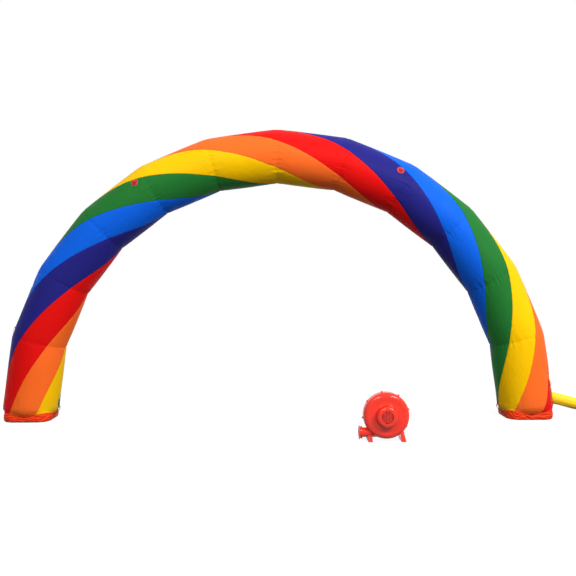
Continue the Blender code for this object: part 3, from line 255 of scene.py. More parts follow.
def along_ring(travel):
    """Travel kept to the ring, the number of its tube, and its place in that tube, -1 to 1."""
    on_ring = clamped(travel, float(TUBES))
    tube = worked("MINIMUM", worked("FLOOR", on_ring), TUBES - 1.0)
    return on_ring, tube, 2.0 * (on_ring - tube) - 1.0


def down_foot(travel):
    """0 on the ring, and 1 where the cloth reaches the base band."""
    return worked("MAXIMUM", worked("MAXIMUM", -travel, travel - float(TUBES)), 0.0)


def skin(size, travel, turn, lift=0.0):
    """Point on the envelope. Travel counts tubes from the left foot's seam at 0 to the right
    foot's at 12, and one more at each end down to the base band. Turn goes from the front (0) to
    the outside of the arch (a quarter)."""
    radius, ring, spring = size["Tube Radius"], size["Ring Radius"], size["Spring Height"]
    sine, cosine = worked("SINE", turn), worked("COSINE", turn)
    _, tube, from_middle = along_ring(travel)
    angle = (tube + 0.5) * BEND
    out_x, out_z = -worked("COSINE", angle), worked("SINE", angle)
    reach = radius + lift
    half_run = ring * math.sin(BEND / 2) + reach * sine * math.tan(BEND / 2)
    along = from_middle * half_run
    out = ring * math.cos(BEND / 2) + reach * sine
    tube_place = (ring + out_x * out + out_z * along, -cosine * reach,
                  spring + out_z * out - out_x * along)

    level = down_foot(travel)
    side = 2.0 * worked("GREATER_THAN", travel, TUBES / 2) - 1.0
    lean = level * FOOT_TURN
    pull = (1.0 - worked("COSINE", lean)) * (1 / (1 - math.cos(FOOT_TURN)))
    fall = worked("SINE", lean) * (1 / math.sin(FOOT_TURN))
    base, grown = square_reach(size, turn), lift * worked("COSINE", lean)
    seam_x, seam_y = radius * (1 / math.cos(BEND / 2)), radius
    foot_place = (
        ring + side * ring + side * sine * (seam_x + (base - seam_x) * pull + grown),
        -cosine * (seam_y + (base - seam_y) * pull + grown),
        spring - fall * (spring - band_height(size, turn)) - lift * worked("SINE", lean),
    )
    on_foot = worked("GREATER_THAN", level, 0.0)
    return tuple(a + (b - a) * on_foot for a, b in zip(tube_place, foot_place))


def twisted(travel):
    """How many stripes the winding has gone round by here. It goes on down the gathered feet."""
    on_ring = clamped(travel, float(TUBES))
    return on_ring + FOOT_TWIST * (travel - on_ring)


def bowed(turn, travel):
    """The panels' edges are cut to a slight bow, so that a stripe flows on through the bends."""
    from_middle = along_ring(travel)[2]
    return turn + BORDER_BOW * worked("COSINE", turn) * (1 / 3 - from_middle * from_middle)


def on_skin(travel, turn, lift=0.0):
    return Vector(skin(ARCH, travel, turn, lift))


def half_length(turn, lift=0.0):
    """Half of a tube's length along its skin at this turn."""
    return TUBE_LENGTH / 2 + (ARCH["Tube Radius"] + lift) * math.sin(turn) * math.tan(BEND / 2)


def travel_at(turn, height):
    """Where on the right leg the skin is at this height, counted as skin() does."""
    rise = height - ARCH["Spring Height"]
    if rise >= 0:
        return TUBES - rise / math.cos(BEND / 2) / (2 * half_length(turn))
    drop = -rise / (ARCH["Spring Height"] - band_height(ARCH, turn))
    return TUBES + math.asin(drop * math.sin(FOOT_TURN)) / FOOT_TURN


# Places where what is sewn on keeps the cloth straight: travel from and to, and the turn and half
# of its width in degrees
STIFF_PLACES = [
    (1.06, 1.74, 75, 5), (3.78, 3.90, 30, 9), (3.78, 3.90, 150, 9), (7.78, 7.90, 30, 9),
    (7.78, 7.90, 150, 9), (11.56, 12.36, 90, 47), (-0.05, 0.10, -90, 4), (-0.05, 0.10, 90, 4),
    (11.90, 12.05, -90, 4), (11.90, 12.05, 180, 4),
]
RELIEF = {
    "Swell": 0.006,
    "Seam Draw": 0.0032,
    "Pucker": 0.010,
    "Pleat": 0.016,
    "Ripple": 0.0035,
    "Gather": 0.009,
}
LAP_WIDTH = 0.012
LAP_STEP = 0.0009
ROWS_TO_A_TUBE = 56
COLUMNS_TO_A_STRIPE = 44


def noise_at(tree, x, y, z, scale, detail):
    """Soft noise about zero at a point given by three fields."""
    place = added(tree, "ShaderNodeCombineXYZ", {0: x, 1: y, 2: z})
    node = added(tree, "ShaderNodeTexNoise", {"Vector": place, "Scale": scale, "Detail": detail})
    return Field(node.outputs[0]) - 0.5


def envelope_lift(tree, size, travel, turn, across):
    """How far the blown-up cloth stands off the plain tube at a point."""
    on_ring, _, from_middle = along_ring(travel)
    from_middle = worked("ABSOLUTE", from_middle)
    level = down_foot(travel)
    sine, cosine = worked("SINE", turn), worked("COSINE", turn)
    cubed = from_middle * from_middle * from_middle
    from_foot = eased(worked("MINIMUM", on_ring, TUBES - on_ring), 0.0, 0.4)
    swell = size["Swell"] * (0.9 - cubed * from_foot) * eased(level, 0.9, 0.0)
    at_mitre = eased(from_middle, 0.90, 1.0) * from_foot * (0.6 + 0.4 * sine)
    near_mitre = eased(from_middle, 0.45, 1.0) * eased(level, 0.5, 0.0)
    beside_mitre = eased(from_middle, 0.74, 0.95) * eased(from_middle, 1.0, 0.965) * from_foot
    inside = 0.65 - 0.35 * sine
    creases = noise_at(tree, cosine * 2.6, sine * 2.6, on_ring * 0.55, 2.6, 2.0)
    ripples = noise_at(tree, cosine, sine, travel * 1.7, 1.9, 3.0)
    pleats = noise_at(tree, cosine * 3.4, sine * 3.4, travel * 0.35, 3.1, 2.0)
    fine_pleats = noise_at(tree, cosine * 9.0, sine * 9.0, on_ring * 1.3, 1.45, 1.0)
    to_edge = worked("MINIMUM", across, 1.0 - across) * STRIPE_WIDTH
    at_edge = eased(to_edge, 0.022, 0.0)
    edge_pucker = (noise_at(tree, travel * 13.0, turn * 0.6, cosine, 1.3, 1.0)
                   * eased(to_edge, 0.06, 0.0))
    lap = eased(across * STRIPE_WIDTH, LAP_WIDTH, LAP_WIDTH * 0.7) * LAP_STEP
    lift = (
        swell
        - size["Seam Draw"] * at_mitre
        - size["Seam Draw"] * 0.45 * at_edge
        + size["Pucker"] * creases * near_mitre * inside
        + size["Pleat"] * fine_pleats * beside_mitre * (0.85 - 0.15 * sine)
        + size["Ripple"] * ripples
        + size["Pucker"] * 0.35 * edge_pucker
        + size["Gather"] * pleats * eased(level, 0.0, 0.8)
        + lap
    )
    for first, last, degrees, half_degrees in STIFF_PLACES:
        past_ends = worked("MAXIMUM", first - travel, travel - last)
        off_turn = 1.0 - worked("COSINE", turn - math.radians(degrees))
        half_width = math.radians(half_degrees)
        free_turn = eased(off_turn, 1 - math.cos(half_width),
                          1 - math.cos(half_width + math.radians(8)))
        lift = lift * worked("MAXIMUM", eased(past_ends, 0.0, 0.10), free_turn)
    return lift


def new_tree(name, sizes, takes_mesh):
    """An empty geometry tree with named inputs, and its input and output nodes."""
    tree = bpy.data.node_groups.new(name, "GeometryNodeTree")
    if takes_mesh:
        tree.interface.new_socket("Geometry", in_out="INPUT", socket_type="NodeSocketGeometry")
    for label, (kind, value) in sizes.items():
        socket = tree.interface.new_socket(label, in_out="INPUT", socket_type=kind)
        if value is not None:
            socket.default_value = value
    tree.interface.new_socket("Geometry", in_out="OUTPUT", socket_type="NodeSocketGeometry")
    return tree, tree.nodes.new("NodeGroupInput"), tree.nodes.new("NodeGroupOutput")


def grown(obj, tree, values):
    """Runs a tree on an object and keeps its result as the object's own plain mesh."""
    modifier = obj.modifiers.new("shape", "NODES")
    modifier.node_group = tree
    for item in tree.interface.items_tree:
        if item.in_out == "INPUT" and item.name in values:
            modifier[item.identifier] = values[item.name]
    bpy.context.view_layer.update()
    graph = bpy.context.evaluated_depsgraph_get()
    mesh = bpy.data.meshes.new_from_object(
        obj.evaluated_get(graph), preserve_all_data_layers=True, depsgraph=graph
    )
    obj.modifiers.clear()
    obj.data = mesh
    mesh.name = obj.name
    return obj


def coated(tree, geometry, material, result):
    """Ends a tree: makes its copies real and gives them their material."""
    real = added(tree, "GeometryNodeRealizeInstances", {0: geometry})
    fed(result, {0: added(tree, "GeometryNodeSetMaterial",
                          {"Geometry": real, "Material": material})})


FLOAT, WHOLE = "NodeSocketFloat", "NodeSocketInt"
envelope_sizes = {label: (FLOAT, value)
                  for label, value in {**ARCH, "Stripe": 0.0, **RELIEF}.items()}
envelope_sizes.update({
    "Rows": (WHOLE, ROWS_TO_A_TUBE * (TUBES + 2) + 1),
    "Columns": (WHOLE, COLUMNS_TO_A_STRIPE + 1),
    "Cloth": ("NodeSocketMaterial", None),
})
envelope, given, result = new_tree("stripe of the envelope", envelope_sizes, False)
size = {label: Field(given.outputs[label])
        for label, (kind, _) in envelope_sizes.items() if kind == FLOAT}
grid = added(envelope, "GeometryNodeMeshGrid", {
    "Size X": 1.0, "Size Y": 1.0,
    "Vertices X": given.outputs["Columns"], "Vertices Y": given.outputs["Rows"],
})
parted = added(envelope, "ShaderNodeSeparateXYZ", {0: added(envelope, "GeometryNodeInputPosition")})
column_share = Field(parted.outputs[0]) + 0.5
travel = (Field(parted.outputs[1]) + 0.5) * (TUBES + 2.0) - 1.0
# Columns lie closer together beside the seams, where the cloth bends most
across = column_share - worked("SINE", column_share * (2 * math.pi)) * (0.3 / (2 * math.pi))
turn = bowed((size["Stripe"] - twisted(travel) + across - 0.5) * STRIPE_TURN, travel)
lift = envelope_lift(envelope, size, travel, turn, across)
place = added(envelope, "ShaderNodeCombineXYZ", dict(enumerate(skin(size, travel, turn, lift))))
flat = added(envelope, "ShaderNodeCombineXYZ", {0: across * STRIPE_WIDTH, 1: travel * TUBE_LENGTH})
store = added(envelope, "GeometryNodeStoreNamedAttribute",
              {"Geometry": grid, "Name": "UVMap", "Value": flat},
              data_type="FLOAT2", domain="CORNER")
move = added(envelope, "GeometryNodeSetPosition", {"Geometry": store, "Position": place})
flip = added(envelope, "GeometryNodeFlipFaces", {0: move})
shade = added(envelope, "GeometryNodeSetShadeSmooth", {"Geometry": flip})
coated(envelope, shade, given.outputs["Cloth"], result)


def linear(red, green, blue):
    """A screen colour of 0 to 255 as the linear colour that a shader takes."""
    shares = (channel / 255 for channel in (red, green, blue))
    return [((share + 0.055) / 1.055) ** 2.4 if share > 0.04 else share / 12.92 for share in shares]


def finish(name, colour, shade=0.06, rough=(0.45, 0.6), grain=0.02, depth=0.0004, weave=None,
           soil=0.0, **shader_values):
    """A material with a colour that wanders lighter and darker by shade, roughness between two
    values, and a bump of that grain size and depth. Weave is its pitch across and along the UV
    map and its depth. Soil darkens what is near the floor. All lengths are in metres."""
    material = bpy.data.materials.new(name)
    material.use_nodes = True
    tree = material.node_tree
    spots = added(tree, "ShaderNodeTexCoord").outputs

    def mottle(scale, detail):
        return added(tree, "ShaderNodeTexNoise",
                     {"Vector": spots["Object"], "Scale": scale, "Detail": detail})

    def ranged(value, low, high, from_low=0.3, from_high=0.7):
        return added(tree, "ShaderNodeMapRange", {
            "Value": value, "From Min": from_low, "From Max": from_high,
            "To Min": low, "To Max": high,
        })

    def mixed(share, *colours):
        first, second = ((*colour, 1) if isinstance(colour, list) else colour for colour in colours)
        return added(tree, "ShaderNodeMix", {0: share, 6: first, 7: second},
                     data_type="RGBA").outputs[2]

    def product(first, second):
        return added(tree, "ShaderNodeMath", {0: first, 1: second}, operation="MULTIPLY")

    dark = [channel * (1 - shade) for channel in colour]
    light = [min(1.0, channel * (1 + shade)) for channel in colour]
    look = mixed(ranged(mottle(1.6, 4), 0, 1), dark, light)
    if soil:
        height = added(tree, "ShaderNodeSeparateXYZ", {0: spots["Object"]}).outputs[2]
        spotted = product(ranged(height, soil, 0.0, 0.0, 0.3), ranged(mottle(14, 5), 0.3, 1.0))
        look = mixed(spotted, look, [0.35 * channel + 0.03 for channel in colour])
    bump = added(tree, "ShaderNodeBump", {"Distance": depth, "Height": mottle(1 / grain, 3)})
    if weave:
        *pitches, thread = weave
        cloth_map = added(tree, "ShaderNodeSeparateXYZ", {0: spots["UV"]})
        waves = [added(tree, "ShaderNodeMath", {0: product(socket, 2 * math.pi / pitch)},
                       operation="SINE")
                 for socket, pitch in zip(cloth_map.outputs, pitches)]
        bump = added(tree, "ShaderNodeBump",
                     {"Distance": thread, "Height": product(*waves), "Normal": bump})
    shader_inputs = {label.replace("_", " "): value for label, value in shader_values.items()}
    fed(tree.nodes["Principled BSDF"], {
        **shader_inputs, "Base Color": look, "Normal": bump,
        "Roughness": ranged(mottle(1 / grain / 3, 3), *rough),
    })
    return material


def thickened(piece, thickness):
    """Gives cloth its thickness, inwards from its face."""
    wall = piece.modifiers.new("cloth thickness", "SOLIDIFY")
    wall.thickness = thickness
    wall.offset = -1


STRIPES = {
    "orange": (255, 108, 38),
    "red": (228, 18, 16),
    "indigo": (36, 35, 122),
    "blue": (14, 96, 220),
    "green": (34, 112, 46),
    "yellow": (246, 192, 3),
}
CLOTH_WEAVE = (0.0016, 0.0016, 0.00012)
CLOTH_THICKNESS = 0.001
stripes = []
for index, (colour_name, screen_colour) in enumerate(STRIPES.items()):
    cloth = finish(f"{colour_name}_nylon", linear(*screen_colour), 0.05, (0.42, 0.56), 0.05, 0.0022,
                   CLOTH_WEAVE, 0.25, Specular_IOR_Level=0.05)
    stripe = grown(new_piece(f"{colour_name}_cloth"), envelope,
                   {"Stripe": float(index), "Cloth": cloth})
    thickened(stripe, CLOTH_THICKNESS)
    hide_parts(f"{colour_name}_stripe")
    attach(stripe, "arch")
    stripes.append(stripe)


# --- Seams of the envelope -----------------------------------------------------------------
# Each stripe laps over its neighbour and is sewn down with two rows of polyester thread, and two
# rows more run round each mitred seam where one tube meets the next.

STITCH_LENGTH = 0.007
STITCH_PITCH = 0.010
THREAD_RADIUS = 0.0006
LAP_ROWS = (0.003, 0.009)
MITRE_ROW_OFFSET = 0.006
LAP_STEPS = 50
LAP_STEPS_DOWN_FOOT = 46
MITRE_STEPS = 20

cloth_points, cloth_faces = [], []
for stripe in stripes:
    start = len(cloth_points)
    cloth_points += [vertex.co.copy() for vertex in stripe.data.vertices]
    cloth_faces += [[start + corner for corner in face.vertices] for face in stripe.data.polygons]
cloth_tree = BVHTree.FromPolygons(cloth_points, cloth_faces)


def on_cloth(point, lift=0.0):
    """Nearest place on the blown-up cloth, raised by the lift, and the direction out of it."""
    place, out, _, _ = cloth_tree.find_nearest(point)
    return place + out * lift, out


copies_along, given, result = new_tree("copies along a line", {
    "Item": ("NodeSocketObject", None),
    "Pitch": (FLOAT, STITCH_PITCH),
    "Finish": ("NodeSocketMaterial", None),
}, True)
curve = added(copies_along, "GeometryNodeMeshToCurve", {0: given.outputs["Geometry"]})
spaced = added(copies_along, "GeometryNodeResampleCurve",
               {"Curve": curve, "Length": given.outputs["Pitch"]}, mode="LENGTH")
item = added(copies_along, "GeometryNodeObjectInfo", {"Object": given.outputs["Item"]})
tangent = added(copies_along, "GeometryNodeInputTangent")
along_line = added(copies_along, "FunctionNodeAlignRotationToVector", {"Vector": tangent}, axis="X")
out_from = added(copies_along, "GeometryNodeInputNamedAttribute", {"Name": "out"},
                 data_type="FLOAT_VECTOR")
upright = added(copies_along, "FunctionNodeAlignRotationToVector",
                {"Rotation": along_line, "Vector": out_from}, axis="Z", pivot_axis="X")
put = added(copies_along, "GeometryNodeInstanceOnPoints", {
    "Points": spaced, "Instance": item.outputs["Geometry"], "Rotation": upright,
})
coated(copies_along, put, given.outputs["Finish"], result)


def repeated(name, lines, item, pitch, material, body):
    """Copies of a small item along lines, each a list of places with their directions out."""
    points, edges, outs = [], [], []
    for line in lines:
        start = len(points)
        points += [place for place, _ in line]
        outs += [number for _, out in line for number in out]
        edges += [(start + step, start + step + 1) for step in range(len(line) - 1)]
    mesh = bpy.data.meshes.new(name)
    mesh.from_pydata(points, edges, [])
    mesh.attributes.new("out", "FLOAT_VECTOR", "POINT").data.foreach_set("vector", outs)
    pattern = new_piece("pattern", item)
    values = {"Item": pattern, "Pitch": pitch, "Finish": material}
    piece = grown(new_piece(name, mesh), copies_along, values)
    bpy.data.objects.remove(pattern)
    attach(piece, body)
    return piece


def stitch_shape(length, radius):
    """One stitch along X: thread that dives into the cloth at both ends."""
    ring = [(0.0, radius), (radius, 0.0), (0.0, -radius), (-radius, 0.0)]
    points = [(-length / 2, 0, -radius / 2)]
    points += [(x, y, z) for x in (-length / 4, length / 4) for y, z in ring]
    points += [(length / 2, 0, -radius / 2)]
    faces = [(0, 1 + step, 1 + (step + 1) % 4) for step in range(4)]
    faces += [(1 + step, 5 + step, 5 + (step + 1) % 4, 1 + (step + 1) % 4) for step in range(4)]
    faces += [(9, 5 + (step + 1) % 4, 5 + step) for step in range(4)]
    mesh = bpy.data.meshes.new("stitch")
    mesh.from_pydata(points, [], faces)
    mesh.shade_smooth()
    return mesh


stitch = stitch_shape(STITCH_LENGTH, THREAD_RADIUS)
seam_thread = finish("seam_thread", linear(205, 205, 200), 0.04, (0.6, 0.8), 0.002, 0.0001)
for index, (colour_name, screen_colour) in enumerate(STRIPES.items()):
    # The thread is dyed a shade darker than the cloth it holds
    dyed = finish(f"{colour_name}_thread",
                  [0.72 * channel for channel in linear(*screen_colour)], 0.04,
                  (0.6, 0.8), 0.002, 0.0001, Specular_IOR_Level=0.1)
    lines = []
    for row in LAP_ROWS:
        line = []
        for step in range(-LAP_STEPS_DOWN_FOOT, TUBES * LAP_STEPS + LAP_STEPS_DOWN_FOOT + 1):
            along = step / LAP_STEPS
            here = (index - twisted(along) + row / STRIPE_WIDTH - 0.5) * STRIPE_TURN
            line.append(on_cloth(on_skin(along, bowed(here, along))))
        lines.append(line)
    for seam in range(TUBES + 1):
        for offset in (-MITRE_ROW_OFFSET, MITRE_ROW_OFFSET):
            along = seam + offset / TUBE_LENGTH
            line = []
            for step in range(MITRE_STEPS + 1):
                here = (index - seam + step / MITRE_STEPS - 0.5) * STRIPE_TURN
                line.append(on_cloth(on_skin(along, bowed(here, along))))
            lines.append(line)
    repeated(f"{colour_name}_seam_stitches", lines, stitch, STITCH_PITCH, dyed, "arch")


# --- Base bands and soles ------------------------------------------------------------------
# A band of the same nylon, gathered round the foot and sewn to it, so it puckers in uneven folds
# that lie mostly level. Its lower edge is sewn round a sole of black vinyl sheet.

BAND_AROUND = 400
BAND_ROWS = 28
BAND_SEWN_FROM = 0.86
BAND_OVERLAP = 0.07
BAND_SLACK = 0.13
SOLE_TOP = 0.0043
BAND_FOLD = 0.0085
BAND_CUT_HEIGHT = 0.09
BASE_GIRTH = 7.2 * ARCH["Base Half"]
LOOP_TURNS = {"left": (90, -90), "right": (180, -90)}
FEET = {"left": (-1, 0.0), "right": (1, 2 * ARCH["Ring Radius"])}


def foot_direction(side, turn):
    return Vector((side * math.sin(turn), -math.cos(turn), 0))


def tube_faces(rows, around, closed=False):
    """Faces between rows of points that are rings. Closed joins the last row to the first."""
    faces = []
    for row in range(rows if closed else rows - 1):
        low, high = row * around, (row + 1) % rows * around
        for step in range(around):
            after = (step + 1) % around
            faces.append((low + step, low + after, high + after, high + step))
    return faces


def mapped(name, points, faces, flats, material):
    """A smooth piece with a UV map, which gives each corner of each face its place laid flat."""
    mesh = bpy.data.meshes.new(name)
    mesh.from_pydata(points, [], faces)
    cloth_map = mesh.uv_layers.new(name="UVMap")
    for loop, flat_place in zip(cloth_map.data, flats):
        loop.uv = flat_place
    mesh.shade_smooth()
    mesh.materials.append(material)
    return new_piece(name, mesh)


band_cloth = finish("band_nylon", linear(250, 64, 14), 0.07, (0.42, 0.56), 0.03, 0.003,
                    CLOTH_WEAVE, 0.3, Specular_IOR_Level=0.1)
sole_vinyl = finish("sole_vinyl_sheet", linear(24, 24, 26), 0.15, (0.5, 0.7), 0.01, 0.0004)
for foot_name, (side, centre_x) in FEET.items():
    points, flats = [], []
    for row in range(BAND_ROWS + 1):
        share = row / BAND_ROWS
        for column in range(BAND_AROUND):
            turn = 2 * math.pi * column / BAND_AROUND
            top = band_height(ARCH, turn)
            if share > BAND_SEWN_FROM:
                wavy = noise.noise(Vector((math.cos(turn) * 4, math.sin(turn) * 4, side * 5)))
                overlap = BAND_OVERLAP * (1 + 0.5 * wavy) + BAND_SLACK * math.cos(2 * turn) ** 4
                level = 1 - overlap * (share - BAND_SEWN_FROM) / (1 - BAND_SEWN_FROM)
                on_foot = -level if side < 0 else TUBES + level
                points.append(on_cloth(on_skin(on_foot, turn), 0.0016)[0])
            else:
                rise = share / BAND_SEWN_FROM
                free = 1.0
                for degrees in LOOP_TURNS[foot_name]:
                    off = 1 - math.cos(turn - math.radians(degrees))
                    free *= eased(off, 1 - math.cos(math.radians(3.2)),
                                  1 - math.cos(math.radians(9)))
                around = Vector((math.cos(turn), math.sin(turn), 0))
                drift = noise.noise(around * 2.2 + Vector((0, 0, side * 7)))
                slope = rise * 3.0 + drift * 3.2 + side * 3
                folds = 1 - 3.2 * abs(noise.noise(Vector((*(around * 3.6).xy, slope))))
                creases = 1 - 3.2 * abs(noise.noise(Vector((*(around * 9).xy, slope * 1.5 + 7))))
                edge = math.sin(math.pi * min(1, rise * 1.02)) ** 0.6
                stand = (0.001 + BAND_FOLD * folds + 0.0028 * creases) * edge * free
                reach = square_reach(ARCH, turn) + max(stand, -0.004)
                lowest = SOLE_TOP + 0.0015 * (1 + noise.noise(around * 9)) * free
                point = foot_direction(side, turn) * reach
                point.z = lowest + (top - lowest) * rise
                points.append(point + Vector((centre_x, 0, 0)))
            flats.append((BASE_GIRTH * column / BAND_AROUND, share * BAND_CUT_HEIGHT))
    faces = [face[::side] for face in tube_faces(BAND_ROWS + 1, BAND_AROUND)]
    corner_flats = [flats[corner] for face in faces for corner in face]
    band = mapped(f"{foot_name}_band_cloth", points, faces, corner_flats, band_cloth)
    thickened(band, 0.002)
    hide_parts(f"{foot_name}_base_band")
    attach(band, "arch")
    frame["nodes"][f"{foot_name}_sole"].material_slots[0].material = sole_vinyl


# --- Anchor loops --------------------------------------------------------------------------
# Black polyester webbing, 25 mm wide, sewn to the tube above and to the base band below, with a
# slack belly between for a guy rope or a stake.

def smoothed(points, steps):
    """A smooth line through the points, as a Catmull-Rom spline."""
    ends = [2 * points[0] - points[1], *points, 2 * points[-1] - points[-2]]
    line = []
    for a, b, c, d in zip(ends, ends[1:], ends[2:], ends[3:]):
        for step in range(steps):
            t = step / steps
            line.append(0.5 * (2 * b + (c - a) * t + (2 * a - 5 * b + 4 * c - d) * t * t
                               + (3 * b - a - 3 * c + d) * t ** 3))
    return line + [points[-1]]


def swept(name, line, sides, section, material, closed=False):
    """A skin through the same section at each point of a line. Sides are the directions of the
    section's first number, and the second points square to it and to the line."""
    count, around = len(line), len(section)
    points, lengths, walked = [], [], 0.0
    for index, place in enumerate(line):
        before = line[index - 1] if index or closed else place
        after = line[(index + 1) % count] if index < count - 1 or closed else place
        run = (after - before).normalized()
        side = (sides[index] - run * run.dot(sides[index])).normalized()
        out = side.cross(run)
        points += [place + side * x + out * y for x, y in section]
        lengths.append(walked)
        walked += (after - place).length
    perimeter = [0.0]
    for (x0, y0), (x1, y1) in zip(section, section[1:] + section[:1]):
        perimeter.append(perimeter[-1] + math.hypot(x1 - x0, y1 - y0))
    faces, flats = tube_faces(count, around, closed), []
    for here, ahead in zip(lengths, [*lengths[1:], walked] if closed else lengths[1:]):
        for left, right in zip(perimeter, perimeter[1:]):
            flats += [(left, here), (right, here), (right, ahead), (left, ahead)]
    if not closed:
        faces += [tuple(range(around))[::-1],
                  tuple((count - 1) * around + c for c in range(around))]
        flats += section[::-1] + section
    piece = mapped(name, points, faces, flats, material)
    work = bmesh.new()
    work.from_mesh(piece.data)
    bmesh.ops.recalc_face_normals(work, faces=work.faces)
    work.to_mesh(piece.data)
    work.free()
    piece.data.set_sharp_from_angle(angle=math.radians(50))
    return piece


def webbing_section(width, thickness):
    """A woven strap's section, a little thinner at its two selvedges."""
    half, rim = width / 2, thickness / 2
    return [(half, 0.3 * rim), (half - rim, rim), (0.5 * half, rim), (0, rim), (-0.5 * half, rim),
            (rim - half, rim), (-half, 0.3 * rim), (-half, -0.3 * rim), (rim - half, -rim),
            (-0.5 * half, -rim), (0, -rim), (0.5 * half, -rim), (half - rim, -rim),
            (half, -0.3 * rim)]


WEBBING_WEAVE = (0.0032, 0.0024, 0.0004)
LOOP_WIDTH = 0.025
LOOP_GAP = 0.0003
TACK_REACH = 0.0105
LOOP_THICKNESS = 0.002
LOOPS = {"left_outer": ("left", 90), "left_inner": ("left", -90),
         "right_inner": ("right", -90), "right_back": ("right", 180)}
black_webbing = finish("black_polyester_webbing", linear(26, 26, 28), 0.12, (0.55, 0.75),
                       0.006, 0.0003, WEBBING_WEAVE, Specular_IOR_Level=0.3)
for loop_name, (foot_name, degrees) in LOOPS.items():
    side, centre_x = FEET[foot_name]
    turn = math.radians(degrees)
    out = foot_direction(side, turn)
    middle = Vector((centre_x, 0, 0))
    lowest_tube = 0 if side < 0 else TUBES

    def tail_place(height):
        rise = (height - ARCH["Spring Height"]) / math.cos(BEND / 2)
        travel = lowest_tube - side * rise / (2 * half_length(turn))
        return on_skin(travel, turn, LOOP_GAP + LOOP_THICKNESS / 2)

    high, low = tail_place(0.213), tail_place(0.168)
    belly = [(ARCH["Tube Radius"] + 0.021, 0.120), (ARCH["Tube Radius"] + 0.017, 0.098),
             (0.291, 0.078), (0.2613, 0.048)]
    face = ARCH["Base Half"] + LOOP_GAP + LOOP_THICKNESS / 2
    points = [high, high.lerp(low, 0.5), low]
    points += [middle + out * reach + Vector((0, 0, height)) for reach, height in belly]
    points += [middle + out * face + Vector((0, 0, height)) for height in (0.036, 0.020, 0.0052)]
    line = smoothed(points, 8)
    across = out.cross(Vector((0, 0, 1)))
    webbing = swept(f"{loop_name}_webbing", line, [across] * len(line),
                    webbing_section(LOOP_WIDTH, LOOP_THICKNESS), black_webbing)
    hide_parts(f"{loop_name}_anchor_loop")
    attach(webbing, "arch")
    tack = []
    lifted = out * (LOOP_THICKNESS / 2 + 0.0002)
    for height in (0.175, 0.205):
        for step in (0.0, 0.004):
            centre = tail_place(height + step)
            tack.append([(centre + across * x + lifted, out) for x in (-TACK_REACH, TACK_REACH)])
    for x in (-TACK_REACH, TACK_REACH):
        tack.append([(tail_place(height) + across * x + lifted, out) for height in (0.175, 0.209)])
    repeated(f"{loop_name}_stitches", tack, stitch_shape(0.0026, 0.0004), 0.0036,
             seam_thread, "arch")


# --- Tether points -------------------------------------------------------------------------
# A round patch of red nylon sewn to the tube, a tab of red webbing folded round the straight bar
# of a steel D-ring, and the ring itself, which hangs down and swings on its bar.

PATCH_RADIUS = 0.042
PATCH_HEIGHT = 0.0023
TAB_WIDTH = 0.022
TAB_FOLD = 0.0034
RING_WIRE = 0.0018
RING_BAR = 0.032
RING_DEPTH = 0.030
BAR_HEIGHT = 0.004
TETHER_FROM_SEAM = 0.12
TETHERS = {"front_left": (3, 30), "back_left": (3, 150),
           "front_right": (7, 30), "back_right": (7, 150)}
PATCH_STEPS = 56
patch_cloth = finish("patch_nylon", linear(205, 22, 20), 0.06, (0.42, 0.56), 0.02, 0.0012,
                     CLOTH_WEAVE, Specular_IOR_Level=0.3)
red_webbing = finish("red_polyester_webbing", linear(196, 24, 22), 0.1, (0.5, 0.7), 0.006, 0.0002,
                     WEBBING_WEAVE, Specular_IOR_Level=0.3)
ring_steel = finish("blackened_steel", linear(52, 50, 52), 0.06, (0.25, 0.4), 0.004, 0.00004,
                    Metallic=0.7)


def angles(count):
    return [2 * math.pi * step / count for step in range(count)]


def bridged(work, loops):
    """Faces between neighbouring loops of points."""
    for near, far in zip(loops, loops[1:]):
        for step in range(len(near)):
            after = (step + 1) % len(near)
            work.faces.new((near[step], near[after], far[after], far[step]))


def mesh_of(name, work, turned_out=True):
    """The mesh of what was built, with its faces turned outwards."""
    if turned_out:
        bmesh.ops.recalc_face_normals(work, faces=work.faces)
    mesh = bpy.data.meshes.new(name)
    work.to_mesh(mesh)
    work.free()
    return mesh


def mapped_by(work, flat_place):
    """A UV map that a function of a point's place gives."""
    flat_map = work.loops.layers.uv.new("UVMap")
    for face in work.faces:
        for loop in face.loops:
            loop[flat_map].uv = flat_place(loop.vert.co)


